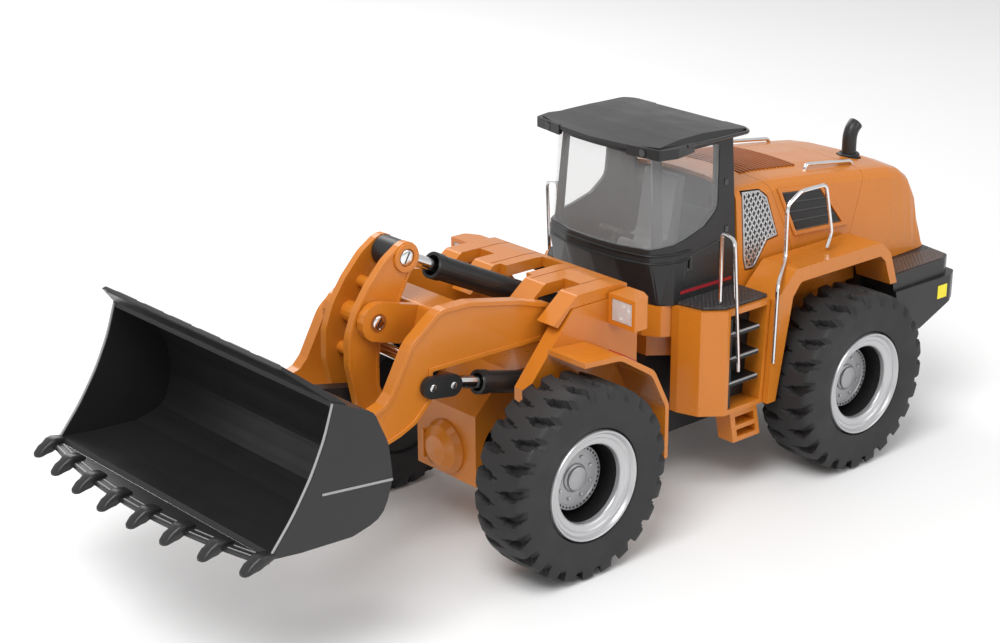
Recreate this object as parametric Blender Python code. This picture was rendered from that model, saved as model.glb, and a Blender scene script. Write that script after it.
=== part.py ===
"""Toy front loader: an articulated wheel loader with a Z-bar bucket linkage.

Run with: blender --background --python part.py

Every size below is in millimetres and is scaled by MM when a mesh is made. The machine
frame has X to the loader's left, -Y to the front and Z up, with Y = 0 midway between the
axles and Z = 0 on the ground. The empty "machine" moves that frame so that the origin is
under the middle of the whole loader.
"""
import math

import bmesh
import bpy
from mathutils import Matrix, Vector

MM = 0.001

# ---------------------------------------------------------------- driving dimensions
TOOTH_TIP = -361.5          # Y of the tooth tips' curve at the middle of the cutting edge
TAIL_END = 240.0            # rearmost Y, on the counterweight
CENTRE_Y = -60.63           # middle of the loader's whole length
GAP = 0.3                   # clearance kept between neighbouring pieces

TYRE_RADIUS = 58.0
TYRE_WIDTH = 39.0
TYRE_SIDES = 40
RIM_RADIUS = 33.0
TRACK_HALF = 85.0           # X of a wheel's middle plane
AXLE_Y = 117.6              # half the wheelbase
AXLE_Z = TYRE_RADIUS * math.cos(math.pi / TYRE_SIDES)
HUB_RADIUS = 9.0

HITCH = (-22.0, 0.0)        # steering pin, Y

# Linkage pins as (Y, Z)
BOOM_PIVOT = (-84.0, 118.0)
LIFT_ROD_PIN = (-170.0, 114.6)
LIFT_BASE_PIN = (-48.0, 84.0)
BELLCRANK_PIVOT = (-200.0, 151.5)
BELLCRANK_TOP = (-175.5, 182.0)
BELLCRANK_FOOT = (-200.0, 103.5)
TILT_BASE_PIN = (-46.0, 120.0)
BUCKET_PIVOT = (-238.0, 100.0)
BUCKET_LINK_PIN = (-248.0, 115.0)
LINK_EYE_OFFSET = (0.77, -1.43) # the link's front eye sits this far off its bucket pin

ARM_INNER = 34.0
ARM_OUTER = 41.0
PLATE_INNER = 8.0           # bellcrank plates
PLATE_OUTER = 12.2
CYLINDER_X = 37.5           # lift cylinders

LIFT_BARREL_RADIUS = 6.5
LIFT_BORE_RADIUS = 5.2
LIFT_ROD_RADIUS = 3.8
LIFT_MOUTH = 24.0           # from the rod pin to the barrel's mouth
TILT_BARREL_RADIUS = 7.2
TILT_BORE_RADIUS = 6.0
TILT_ROD_RADIUS = 3.8
TILT_MOUTH = 31.0

BUCKET_HALF = 101.0
BUCKET_WALL = 2.6
LIP_BULGE = 12.5            # how far the middle of the cutting edge stands forward
TOOTH_COUNT = 8
TOOTH_SPAN = 98.0

DECK_Z = 124.0
BOX_BOTTOM = 57.0
WEIGHT_DECK = 112.0
CAB_WAIST = 150.0           # the cab narrows from here up to its top
CAB_TOP = 219.5
CAB_MIDDLE = 22.0           # Y that the cab narrows towards


# ---------------------------------------------------------------- scene and materials
def clear_scene():
    for old in list(bpy.data.objects):
        bpy.data.objects.remove(old, do_unlink=True)


def material(name, colour, roughness, metallic=0.0):
    made = bpy.data.materials.new(name)
    made.use_nodes = True
    shader = made.node_tree.nodes["Principled BSDF"]
    shader.inputs["Base Color"].default_value = (*colour, 1.0)
    shader.inputs["Roughness"].default_value = roughness
    shader.inputs["Metallic"].default_value = metallic
    made.diffuse_color = (*colour, 1.0)
    return made


class Joint:
    """An empty on a joint's axis; its place is kept in machine millimetres."""

    def __init__(self, name, place, parent=None):
        self.place = Vector(place)
        self.empty = bpy.data.objects.new(name, None)
        bpy.context.scene.collection.objects.link(self.empty)
        if parent is None:
            self.empty.location = (self.place - Vector((0.0, CENTRE_Y, 0.0))) * MM
        else:
            self.empty.parent = parent.empty
            self.empty.location = (self.place - parent.place) * MM


# ---------------------------------------------------------------- outlines
def arc(centre, radius, start, end, steps=6):
    """Points on an arc, angles in degrees."""
    points = []
    for step in range(steps + 1):
        angle = math.radians(start + (end - start) * step / steps)
        points.append((centre[0] + radius * math.cos(angle),
                       centre[1] + radius * math.sin(angle)))
    return points


def circle(centre, radius, sides=20):
    return arc(centre, radius, 0.0, 360.0 * (sides - 1) / sides, sides - 1)


def rounded(corners):
    """An outline from corners (a, b) or (a, b, r): a third value rounds that corner."""
    outline = []
    count = len(corners)
    for index, corner in enumerate(corners):
        here = Vector(corner[:2])
        if len(corner) == 2:
            outline.append(tuple(here))
            continue
        before = (Vector(corners[index - 1][:2]) - here).normalized()
        after = (Vector(corners[(index + 1) % count][:2]) - here).normalized()
        half = before.angle(after) / 2
        reach = corner[2] / math.tan(half)
        steps = max(2, round((math.pi - 2 * half) / math.radians(22.0)))
        first = here + before * reach
        last = here + after * reach
        for step in range(steps + 1):
            part = step / steps
            outline.append(tuple(first * (1 - part) ** 2
                                 + here * 2 * part * (1 - part) + last * part ** 2))
    return outline


def mirrored(half):
    """A closed outline from its +X half, listed from one end of the Y axis to the other."""
    other = [(-a, b) for a, b in reversed(half) if a > 0.01]
    return list(half) + other


def slot(first, last, radius):
    """The outline round two equal circles, first being the one further forward."""
    line = Vector(last) - Vector(first)
    angle = math.degrees(math.atan2(line.y, line.x))
    return (arc(first, radius, angle + 90, angle + 270, 8)
            + arc(last, radius, angle - 90, angle + 90, 8))


# ---------------------------------------------------------------- solids as bmeshes
AXES = {"X": ((1, 2), 0), "Y": ((0, 2), 1), "Z": ((0, 1), 2)}


def prism(outline, low, high, axis):
    """An outline extruded along an axis; X takes (y, z), Y takes (x, z), Z takes (x, y)."""
    (first, second), along = AXES[axis]
    solid = bmesh.new()
    rings = []
    for level in (low, high):
        ring = []
        for a, b in outline:
            point = [0.0, 0.0, 0.0]
            point[first] = a
            point[second] = b
            point[along] = level
            ring.append(solid.verts.new(point))
        rings.append(ring)
    solid.faces.new(rings[0])
    solid.faces.new(rings[1])
    count = len(outline)
    for index in range(count):
        after = (index + 1) % count
        solid.faces.new((rings[0][index], rings[0][after], rings[1][after], rings[1][index]))
    bmesh.ops.recalc_face_normals(solid, faces=solid.faces)
    return solid


def box(low, high):
    return prism([(low[1], low[2]), (high[1], low[2]), (high[1], high[2]), (low[1], high[2])],
                 low[0], high[0], "X")


def turned(profile, centre, direction, sides=24, closed=False, turn=0.0):
    """A profile of (along, radius) turned about a line; closed joins its end to its start."""
    solid = bmesh.new()
    place = Vector(centre)
    frame = Vector(direction).normalized().to_track_quat("Z", "Y").to_matrix()
    rings = []
    for along, radius in profile:
        if radius < 1e-6:
            rings.append([solid.verts.new(place + frame @ Vector((0, 0, along)))])
            continue
        ring = []
        for side in range(sides):
            angle = 2 * math.pi * (side + turn) / sides
            spoke = Vector((radius * math.cos(angle), radius * math.sin(angle), along))
            ring.append(solid.verts.new(place + frame @ spoke))
        rings.append(ring)
    pairs = list(zip(rings, rings[1:]))
    if closed:
        pairs.append((rings[-1], rings[0]))
    for one, two in pairs:
        for side in range(sides):
            after = (side + 1) % sides
            if len(one) == 1:
                solid.faces.new((one[0], two[side], two[after]))
            elif len(two) == 1:
                solid.faces.new((one[side], one[after], two[0]))
            else:
                solid.faces.new((one[side], one[after], two[after], two[side]))
    bmesh.ops.recalc_face_normals(solid, faces=solid.faces)
    return solid


def rod(start, end, radius, sides=16):
    """A plain round bar between two points."""
    start = Vector(start)
    line = Vector(end) - start
    profile = [(0, 0), (0, radius), (line.length, radius), (line.length, 0)]
    return turned(profile, start, line, sides)


def pin(place, low, high, radius, sides=16):
    """A round bar along X at a (y, z) place."""
    return rod((low, *place), (high, *place), radius, sides)


def merged(*solids):
    """Several separate bmeshes as one, for use as a cutter or a group of additions."""
    whole = bmesh.new()
    for solid in solids:
        mesh = bpy.data.meshes.new("part_of_group")
        solid.to_mesh(mesh)
        solid.free()
        whole.from_mesh(mesh)
        bpy.data.meshes.remove(mesh)
    return whole


def flipped(solid):
    """The same solid on the other side of X = 0."""
    copy = solid.copy()
    bmesh.ops.scale(copy, vec=(-1, 1, 1), verts=copy.verts)
    bmesh.ops.reverse_faces(copy, faces=copy.faces)
    return copy


def both(solid):
    return merged(solid.copy(), flipped(solid))


def sided(solid, side):
    """The solid as it is on the left (side 1), or its mirror on the right (side -1)."""
    return solid if side > 0 else flipped(solid)


# ---------------------------------------------------------------- objects
def place_object(name, solid, joint):
    bmesh.ops.translate(solid, vec=-joint.place, verts=solid.verts)
    bmesh.ops.scale(solid, vec=(MM, MM, MM), verts=solid.verts)
    mesh = bpy.data.meshes.new(name)
    solid.to_mesh(mesh)
    solid.free()
    thing = bpy.data.objects.new(name, mesh)
    bpy.context.scene.collection.objects.link(thing)
    thing.parent = joint.empty
    return thing


def piece(name, solid, paint, joint, smooth=False, bevel=0.0):
    """A finished sub-part on its joint."""
    thing = place_object(name, solid, joint)
    thing.data.materials.append(paint)
    if smooth:
        thing.data.shade_smooth()
        thing.data.set_sharp_from_angle(angle=math.radians(35))
    if bevel:
        edge = thing.modifiers.new("edge", "BEVEL")
        edge.width = bevel * MM
        edge.segments = 1
        edge.limit_method = "ANGLE"
        edge.angle_limit = math.radians(50)
    return thing


def change(thing, operation, solid, joint):
    """Unites, cuts or intersects a piece with another solid through a Boolean."""
    tool = place_object(f"{thing.name}_{operation.lower()}_{len(thing.modifiers)}", solid, joint)
    tool.hide_render = True
    tool.display_type = "WIRE"
    step = thing.modifiers.new(operation.lower(), "BOOLEAN")
    step.operation = operation
    step.solver = "EXACT"
    step.object = tool
    return thing


def unite(thing, solid, joint):
    return change(thing, "UNION", solid, joint)


def cut(thing, solid, joint):
    return change(thing, "DIFFERENCE", solid, joint)


def keep(thing, solid, joint):
    return change(thing, "INTERSECT", solid, joint)


def pipe(name, route, radius, paint, joint, bend=6.0):
    """A round bar bent along a route, each inner corner replaced by a smooth bend."""
    corners = [Vector(point) for point in route]
    points = [corners[0]]
    for before, here, after in zip(corners, corners[1:], corners[2:]):
        reach = min(bend, (here - before).length * 0.45, (after - here).length * 0.45)
        first = here + (before - here).normalized() * reach
        last = here + (after - here).normalized() * reach
        for step in range(5):
            part = step / 4
            points.append(first * (1 - part) ** 2 + here * 2 * part * (1 - part) + last * part ** 2)
    points.append(corners[-1])
    curve = bpy.data.curves.new(name, "CURVE")
    curve.dimensions = "3D"
    curve.bevel_depth = radius * MM
    curve.bevel_resolution = 2
    curve.use_fill_caps = True
    spline = curve.splines.new("POLY")
    spline.points.add(len(points) - 1)
    for target, point in zip(spline.points, points):
        target.co = (*((point - joint.place) * MM), 1.0)
    curve.materials.append(paint)
    thing = bpy.data.objects.new(name, curve)
    bpy.context.scene.collection.objects.link(thing)
    thing.parent = joint.empty
    return thing


# ---------------------------------------------------------------- rear frame (root body)
def rear_chassis(joint, paint):
    side = [(-6, 30), (52, 30), (80, 48), (94, 74), (142, 74), (154, 58), (165.5, 58),
            (165.5, 86), (-6, 86)]
    frame = piece("rear_chassis", prism(side, -30, 30, "X"), paint, joint)
    lug = [(13, 0)] + arc((0, HITCH[0]), 13, 0, -180, 8) + [(-13, 0)]
    unite(frame, merged(prism(lug, 46, 53, "Z"), prism(lug, 78, 85, "Z")), joint)
    cut(frame, prism(circle((0, HITCH[0]), 4.3), 40, 90, "Z"), joint)


def hitch_pin(joint, paint):
    profile = [(0, 0), (0, 4), (42, 4), (42, 6.5), (44.5, 6.5), (44.5, 0)]
    piece("hitch_pin", turned(profile, (0, HITCH[0], 43.3), (0, 0, 1), 20), paint, joint,
          smooth=True)


def axle(name, y, joint, paint):
    """A differential bulge between two tubes that end in wheel stubs."""
    half = [(TRACK_HALF + 4, 0), (TRACK_HALF + 4, 5.5), (61, 5.5), (61, 11), (56, 11), (56, 8),
            (20, 9), (14, 14.5), (5, 15.5)]
    profile = [(-along, radius) for along, radius in half] + list(reversed(half))
    piece(name, turned(profile, (0, y, AXLE_Z), (1, 0, 0), 20), paint, joint, smooth=True)


def rear_body(joint, paint):
    """The platform that carries the cab, the battery and the hood."""
    plan = mirrored(rounded([(0, -15), (36, -15), (46, -9, 4), (50, -1), (50, 165.5), (0, 165.5)]))
    body = piece("rear_body", prism(plan, 104, DECK_Z - GAP, "Z"), paint, joint)
    core = mirrored([(0, -4), (29, -4), (44, 14), (44, 165.5), (0, 165.5)])
    unite(body, prism(core, 86 + GAP, 106, "Z"), joint)
    cut(body, box((-40, 62, 92), (40, 160, 130)), joint)


def battery_pack(joint, paint):
    outline = rounded([(64, 92.5), (140, 92.5), (140, 116, 4), (64, 116, 4)])
    piece("battery_pack", prism(outline, -26, 26, "X"), paint, joint)


def ladder_box(side, name, joint, paint):
    """The step box beside the cab, open where the ladder sits, with a windowed step below."""
    plan = [(50 + GAP, -4), (56, -4), (70, 0.5), (80, 13), (80, 60), (50 + GAP, 60)]
    body = piece(name, sided(prism(plan, BOX_BOTTOM, DECK_Z, "Z"), side), paint, joint)
    behind = [(46.6, 50), (51.3, 130), (70, 130), (70, 50)]
    cut(body, sided(prism(behind, 40, 90, "X"), side), joint)
    mouth = [(16, BOX_BOTTOM + 3), (44.1, BOX_BOTTOM + 3), (48.2, 120.5), (16, 120.5)]
    cut(body, sided(prism(mouth, 62, 90, "X"), side), joint)
    face = [(20, 58), (44, 58), (48.6, 35.5), (24.5, 35.5)]
    unite(body, sided(prism(face, 65.5, 78, "X"), side), joint)
    windows = [[(25, 52.5), (42, 52.5), (43, 46.5), (26.2, 46.5)],
               [(27, 43.5), (43.8, 43.5), (44.7, 38.5), (28.2, 38.5)]]
    cut(body, sided(merged(*[prism(hole, 60, 90, "X") for hole in windows]), side), joint)


def ladder(side, name, joint, paint):
    """Back plate, stringer and three treads."""
    plate = [(16.4, 60.4), (43.5, 60.4), (47.6, 118), (16.4, 118)]
    body = piece(name, sided(prism(plate, 62 + GAP, 66.5, "X"), side), paint, joint)
    treads = [box((66, 16.4, level), (79.2, 42.6, level + 2.6)) for level in (74.5, 90.5, 106.5)]
    unite(body, sided(merged(*treads), side), joint)
    unite(body, sided(box((66, 16.4, 60.4), (79.2, 18.6, 118)), side), joint)


def catwalk(side, name, joint, paint):
    plan = rounded([(51 + GAP, -0.5), (69, 3.5), (77.5, 14, 3), (77.5, 50.2), (51 + GAP, 50.2)])
    piece(name, sided(prism(plan, DECK_Z + GAP, 126.4, "Z"), side), paint, joint)


def rear_fender(side, name, joint, paint):
    """A wide band over the rear wheel, with a slanted leg beside the ladder."""
    outer = [(47.4, BOX_BOTTOM), (51.9, 123), (57, 128), (69, 139.3, 4), (150, 139.3, 3),
             (160, 130.5, 2), (168, 109)]
    inner = [(161.5, 109), (155, 126, 3), (150, 130.3, 3), (74, 130.3, 4), (67, 122),
             (55, BOX_BOTTOM)]
    piece(name, sided(prism(rounded(outer + inner), 56, 84, "X"), side), paint, joint)


HOOD_STATIONS = (
    # y, half width at the base, half width at the shoulder, shoulder z, crown z
    (50.5, 55.5, 47.5, 186.0, 189.5),
    (85.0, 55.5, 47.5, 185.0, 188.5),
    (120.0, 55.5, 47.5, 181.5, 185.0),
    (160.0, 55.5, 47.5, 177.0, 180.0),
    (185.0, 55.5, 47.5, 174.0, 177.0),
    (200.0, 55.0, 47.5, 172.0, 174.5),
    (212.0, 54.5, 47.0, 168.5, 170.5),
    (221.0, 54.0, 46.5, 162.5, 164.5),
    (228.0, 53.5, 46.0, 152.0, 154.0),
    (233.0, 52.5, 45.5, 136.0, 138.0),
    (235.5, 51.0, 45.0, 124.0, 125.5),
    (236.5, 48.0, 43.0, 114.5, 116.0),
)
HOOD_BASE = WEIGHT_DECK + GAP
SHOULDER_RADIUS = 7.0
HOOD_WALL = 2.4
SEAM_FRONT = ((62, 200), (81.5, 181), (98, 143), (103, DECK_Z))
SEAM_REAR = ((167.5, 200), (172, 172), (154.6, 134.5), (150.5, DECK_Z))
GRILLE = ((55.5, 183), (72, 181.5, 3), (79, 176, 2), (87.5, 149), (77.5, 148), (65, 133, 3),
          (56, 133.5), (54.5, 141))
EXHAUST = (20.0, 190.0)


def hood_outline(wide, narrow, shoulder, crown, low):
    """One cross section of the hood as (x, z), from one foot over the top to the other."""
    reach = min(SHOULDER_RADIUS, (shoulder - low) * 0.5 + 0.05)
    half = [(wide, low), (narrow + (wide - narrow) * 0.15, shoulder - reach)]
    for step in (1, 2, 3):
        angle = math.radians(30 * step)
        half.append((narrow - reach + reach * math.cos(angle) + 0.4,
                     shoulder - reach + reach * math.sin(angle)))
    half += [(narrow * 0.5, crown - (crown - shoulder) * 0.25), (0.0, crown)]
    return half + [(-x, z) for x, z in reversed(half[:-1])]


def hood_volume(inset):
    """The engine hood's closed form, every wall moved inwards by inset."""
    solid = bmesh.new()
    low = HOOD_BASE if inset == 0 else HOOD_BASE - 4
    rings = []
    for index, (y, wide, narrow, shoulder, crown) in enumerate(HOOD_STATIONS):
        if inset and index == 0:
            y -= 4
        if inset and index > 5:
            y -= inset
        outline = hood_outline(wide - inset, narrow - inset, shoulder - inset, crown - inset, low)
        rings.append([solid.verts.new((x, y, z)) for x, z in outline])
    count = len(rings[0])
    for one, two in zip(rings, rings[1:]):
        for index in range(count):
            after = (index + 1) % count
            solid.faces.new((one[index], one[after], two[after], two[index]))
    solid.faces.new(rings[0])
    solid.faces.new(rings[-1])
    bmesh.ops.recalc_face_normals(solid, faces=solid.faces)
    return solid


def shifted(line, step):
    return [(y + step, z) for y, z in line]


def hood_piece(name, region, joint, paint):
    """The part of the hood's shell that lies inside a (y, z) region."""
    shell = piece(name, hood_volume(0), paint, joint)
    keep(shell, prism(region, -70, 70, "X"), joint)
    return cut(shell, hood_volume(HOOD_WALL), joint)


def hood(joint, paint):
    front = hood_piece("hood_front", [(40, DECK_Z), (40, 200)] + list(SEAM_FRONT), joint, paint)
    cut(front, prism(rounded(GRILLE), -70, 70, "X"), joint)
    hood_piece("hood_middle", shifted(SEAM_FRONT, GAP) + list(reversed(SEAM_REAR)), joint, paint)
    end = [(166, DECK_Z), (166, 100), (260, 100), (260, 200)]
    tail = hood_piece("hood_tail", shifted(SEAM_REAR, GAP) + end, joint, paint)
    cut(tail, prism(circle(EXHAUST, 8.4), 160, 190, "Z"), joint)


def grille(side, name, joint, paint):
    """A screen that fills the opening in the hood's side, set back from its surface."""
    middle = (70.5, 158.5)
    outline = [(middle[0] + (point[0] - middle[0]) * 0.975,
                middle[1] + (point[1] - middle[1]) * 0.975) + tuple(point[2:]) for point in GRILLE]
    screen = piece(name, prism(rounded(outline), 30 * side, 70 * side, "X"), paint, joint)
    keep(screen, hood_volume(0.8), joint)
    cut(screen, hood_volume(2.2), joint)


def exhaust(joint, paint):
    profile = [(0, 0), (0, 8), (9.5, 8), (10.5, 6.4), (18.5, 6.4), (18.5, 0)]
    stack = piece("exhaust_stack", turned(profile, (*EXHAUST, 169), (0, 0, 1), 20), paint, joint)
    outlet = rod((EXHAUST[0], EXHAUST[1] - 1.5, 183.5), (EXHAUST[0], EXHAUST[1] + 6.5, 194.5), 5.6, 20)
    unite(stack, outlet, joint)


def counterweight(joint, paint):
    lower = [(0, 166), (82, 166), (83, 227, 5), (78, 236.5, 5), (40, TAIL_END, 20), (0, TAIL_END)]
    upper = [(0, 166), (80, 166), (80, 223, 5), (75, 232, 5), (38, 238.5, 20), (0, 238.5)]
    body = piece("counterweight", prism(mirrored(rounded(lower)), 62, 101, "Z"), paint, joint)
    belly = [(160, 66), (198, 70), (226, 82), (244, 86), (244, 55), (160, 55)]
    cut(body, prism(belly, -90, 90, "X"), joint)
    unite(body, prism(mirrored(rounded(upper)), 99, WEIGHT_DECK, "Z"), joint)
    cut(body, both(pin((AXLE_Y, AXLE_Z), 61, 110, 62.5, 40)), joint)
    fender_end = [(160, 95), (172, 95), (168.8, 109), (167.6, 113), (160, 118)]
    cut(body, both(prism(fender_end, 55.6, 90, "X")), joint)
    cut(body, box((-8, 230, 88), (8, 250, 95)), joint)


def cab_ring(half, z, taper, narrow):
    """A cab section: taper pulls the nose back, narrow shrinks the section towards its middle."""
    plan = mirrored(rounded(half))
    drawn = [(x, y if y > -4 else -4 + (y + 4) * taper) for x, y in plan]
    return [(x * narrow, CAB_MIDDLE + (y - CAB_MIDDLE) * narrow, z) for x, y in drawn]


def cab_narrow(z):
    """How far the cab has narrowed at a height above its waist."""
    return 1 - 0.07 * (z - CAB_WAIST) / (CAB_TOP - CAB_WAIST)


def cab_volume(half, levels):
    solid = bmesh.new()
    rings = []
    for z, taper in levels:
        narrow = cab_narrow(z) if z > CAB_WAIST else 1
        rings.append([solid.verts.new(point) for point in cab_ring(half, z, taper, narrow)])
    for one, two in zip(rings, rings[1:]):
        for index in range(len(one)):
            after = (index + 1) % len(one)
            solid.faces.new((one[index], one[after], two[after], two[index]))
    solid.faces.new(rings[0])
    solid.faces.new(rings[-1])
    bmesh.ops.recalc_face_normals(solid, faces=solid.faces)
    return solid


def cab_opening(margin):
    """The one opening that wraps from the screen round both corners to the pillars."""
    edge = [(-40, 158 + margin), (-12, 160 + margin), (6, 163.5 + margin),
            (22 - margin, 168 + margin, 8), (34 - margin, 177 + margin, 8),
            (36 - margin, 216.5 - margin), (-40, 216.5 - margin)]
    return prism(rounded(edge), -70, 70, "X")


def cab_frame(joint, paint):
    outer = [(0, -25), (22, -24, 20), (44, -18, 5), (51, -4, 5), (51, 49), (0, 49)]
    inner = [(0, -22.4), (22, -21.4, 18), (42.4, -15.6, 4), (48.4, -3.6, 4), (48.4, 46), (0, 46)]
    shell = piece("cab_frame", cab_volume(outer, [(DECK_Z + GAP, 0.5), (150, 1), (CAB_TOP, 1)]),
                  paint, joint)
    cut(shell, cab_volume(inner, [(127, 0.5), (150.5, 1), (217, 1)]), joint)
    cut(shell, cab_opening(0), joint)
    back = rounded([(-34, 170, 4), (34, 170, 4), (34, 212, 4), (-34, 212, 4)])
    cut(shell, prism(back, 30, 60, "Y"), joint)
    foot = (43.6, -14.6), (46.6, -8.9), (43.0, -7.4), (40.2, -12.9)
    head = (38.0, -11.8), (40.6, -6.6), (38.2, -5.4), (35.6, -10.5)
    post = bmesh.new()
    low = [post.verts.new((x, y, 152)) for x, y in foot]
    high = [post.verts.new((x, y, 218)) for x, y in head]
    for index in range(4):
        after = (index + 1) % 4
        post.faces.new((low[index], low[after], high[after], high[index]))
    post.faces.new(low)
    post.faces.new(high)
    bmesh.ops.recalc_face_normals(post, faces=post.faces)
    unite(shell, both(post), joint)


def cab_glass(joint, paint):
    """One clear shell that fills the wrap-around opening, flush with the cab's outside."""
    outer = [(0, -24.4), (22, -23.4, 19.4), (43.5, -17.5, 4.6), (50.4, -3.8, 4.6), (50.4, 48.4),
             (0, 48.4)]
    inner = [(0, -23.2), (22, -22.2, 18.2), (42.6, -16.5, 4), (49.2, -3.5, 4), (49.2, 60), (0, 60)]
    panes = piece("cab_glass", cab_volume(outer, [(154, 1), (218, 1)]), paint, joint)
    cut(panes, cab_volume(inner, [(150, 1), (222, 1)]), joint)
    keep(panes, cab_opening(GAP), joint)


def driver_seat(joint, paint):
    side = rounded([(6, 127 + GAP), (32, 127 + GAP), (36, 146), (42, 188, 3), (35, 190, 3),
                    (28, 150, 4), (6, 147, 3)])
    piece("driver_seat", prism(side, -14, 14, "X"), paint, joint)


def steering_console(joint, paint):
    console = piece("steering_console", box((-10, -12, 127 + GAP), (10, -4, 149)), paint, joint)
    unite(console, rod((0, -8, 147), (0, -2.2, 158), 2.2, 10), joint)
    rim = [(-1.4, 8.4), (1.4, 8.4), (1.4, 11), (-1.4, 11)]
    unite(console, turned(rim, (0, -2, 158.5), (0, 0.47, 0.88), 24, closed=True), joint)
    unite(console, rod((-9.6, -2, 158.5), (9.6, -2, 158.5), 1.2, 8), joint)


def cab_roof(joint, paint):
    """A roof panel with a lamp pod at each front corner."""
    plan = mirrored(rounded([(0, -25.5), (30, -23.5, 4), (50, -18), (53, 40), (50, 57, 5), (0, 57)]))
    roof = piece("cab_roof", prism(plan, 219.5 + GAP, 232, "Z"), paint, joint)
    above = [(-30, 220.8), (-18, 223.4), (0, 224.8), (20, 225.2), (40, 224.4), (60, 222.6), (60, 240),
             (-30, 240)]
    cut(roof, prism(above, -70, 70, "X"), joint)
    eaves = [(44, 228), (60, 228), (60, 220), (53, 221)]
    cut(roof, both(prism(eaves, -40, 70, "Y")), joint)
    pod = rounded([(29, -24.2), (53, -20.5, 2), (56, -8, 3), (51.5, 10), (40, 4), (31, -14)])
    unite(roof, both(prism(pod, 216.5, 222.6, "Z")), joint)
    over_cab = mirrored([(0, -23), (24, -22.2), (43.2, -17), (49, -3), (49, 60), (0, 60)])
    cut(roof, prism(over_cab, 210, 219.5 + GAP, "Z"), joint)


def handrails(side, label, joint, paint):
    front = [(71.4, 15, 127), (71.4, 14.6, 171), (81.8, 14.6, 169), (83.5, 20, 90), (82, 22, 85)]
    rear = [(85.5, 49.3, 84), (85.5, 50.5, 134), (71.5, 72.5, 143), (71.5, 72, 176),
            (71.5, 84, 183), (71.5, 107, 183), (71.5, 115, 150), (71.5, 111, 141.4)]
    for name, route in (("front_rail", front), ("rear_rail", rear)):
        pipe(f"{name}_{label}", [(x * side, y, z) for x, y, z in route], 1.2, paint, joint, bend=4)


# ---------------------------------------------------------------- front frame
def front_chassis(joint, paint):
    """The narrow gear case round the front axle, with the hitch tongue behind it."""
    nose = [(-139, 37.5), (-60, 46), (-60, 100), (-112, 103), (-124, 96), (-139, 81.5)]
    frame = piece("front_chassis", prism(nose, -26.5, 26.5, "X"), paint, joint)
    tongue = [(13, -70)] + arc((0, HITCH[0]), 13, 0, 180, 8) + [(-13, -70)]
    unite(frame, prism(tongue, 54, 77, "Z"), joint)
    cut(frame, prism(circle((0, HITCH[0]), 4.3), 40, 90, "Z"), joint)
    cut(frame, pin((-AXLE_Y, AXLE_Z), -40, 40, 16, 24), joint)
    bulge = [(-2, 0), (-2, 17), (2, 16.6), (6, 14), (9, 8.5), (10, 0)]
    unite(frame, turned(bulge, (0, -138.5, 55.5), (0, -1, 0), 28), joint)


def tower_cheeks(joint, paint):
    """Side cheeks and inner plates, with the pins that the boom and the cylinders turn on."""
    cheek = [(-42, 72), (-42, 124), (-50, 134), (-50, 145), (-93, 145), (-128, 104), (-128, 82),
             (-118, 72)]
    body = piece("tower_cheeks", prism(cheek, 48, 59, "X"), paint, joint)
    unite(body, flipped(prism(cheek, 48, 59, "X")), joint)
    plate = [(-60 + GAP, 72), (-38, 72), (-38, 124), (-42, 128), (-52, 128), (-60 + GAP, 112)]
    unite(body, both(prism(plate, 22, 29, "X")), joint)
    unite(body, box((-50, -57, 102), (50, -50, 108)), joint)
    unite(body, pin(TILT_BASE_PIN, -28, 28, 3), joint)
    unite(body, both(merged(pin(LIFT_BASE_PIN, 24, 58, 3), pin(BOOM_PIVOT, 32.5, 58, 4, 20))), joint)


def tower_cover(joint, paint):
    """The crown of the tower, notched for the arms and slotted for the tilt cylinder."""
    side = rounded([(-50, 145 + GAP), (-50, 150.8), (-60, 152), (-89, 152.3, 3), (-107.5, 138),
                    (-104, 136), (-94.5, 145 + GAP)])
    cover = piece("tower_cover", prism(side, -58, 58, "X"), paint, joint)
    cut(cover, box((-14, -120, 130), (14, -84, 170)), joint)
    cut(cover, box((-8.8, -90, 130), (8.8, -54.8, 170)), joint)
    cut(cover, both(box((31, -120, 130), (44, -74, 170))), joint)


def front_fender(side, name, joint, paint):
    outer = [(-113, 126), (-84, 123.8, 12), (-58, 108, 10), (-45.5, 84, 8), (-45.5, 50)]
    inner = [(-48.3, 50), (-48.3, 83, 8), (-60, 105.2, 10), (-85, 120.8, 12), (-113, 123)]
    piece(name, sided(prism(rounded(outer + inner), 59 + GAP, 90, "X"), side), paint, joint)


def headlight(side, name, joint, paint):
    plan = rounded([(59 + GAP, -66), (81, -66), (81, -55, 4), (72, -50, 4), (59 + GAP, -50)])
    body = piece(name, sided(prism(plan, 130.5, 149, "Z"), side), paint, joint)
    cut(body, sided(box((62, -70, 133), (78.5, -63, 146.5)), side), joint)


# ---------------------------------------------------------------- wheels
def wheel(label, side, joint, paints):
    centre = joint.place
    half = TYRE_WIDTH / 2
    tread = [(-half, 36), (-half, 50), (-half + 2.5, 55.5), (-half + 6, TYRE_RADIUS),
             (half - 6, TYRE_RADIUS), (half - 2.5, 55.5), (half, 50), (half, 36),
             (half - 3, RIM_RADIUS + GAP), (-half + 3, RIM_RADIUS + GAP)]
    piece(f"tyre_{label}", turned(tread, centre, (side, 0, 0), TYRE_SIDES, closed=True, turn=0.5),
          paints["tyre"], joint, smooth=True)
    dish = [(half - 0.4, 32.6), (half - 3.4, RIM_RADIUS), (-half + 3, RIM_RADIUS), (-half + 3, 5.8),
            (5, 5.8), (5, 9), (3, 10), (3, 19.6), (-11.5, 20), (-11.5, 24.5), (14, 24.5),
            (half - 4, 29.6), (half - 0.4, 30.4)]
    piece(f"rim_{label}", turned(dish, centre, (side, 0, 0), 40, closed=True), paints["rim"],
          joint, smooth=True)


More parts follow.
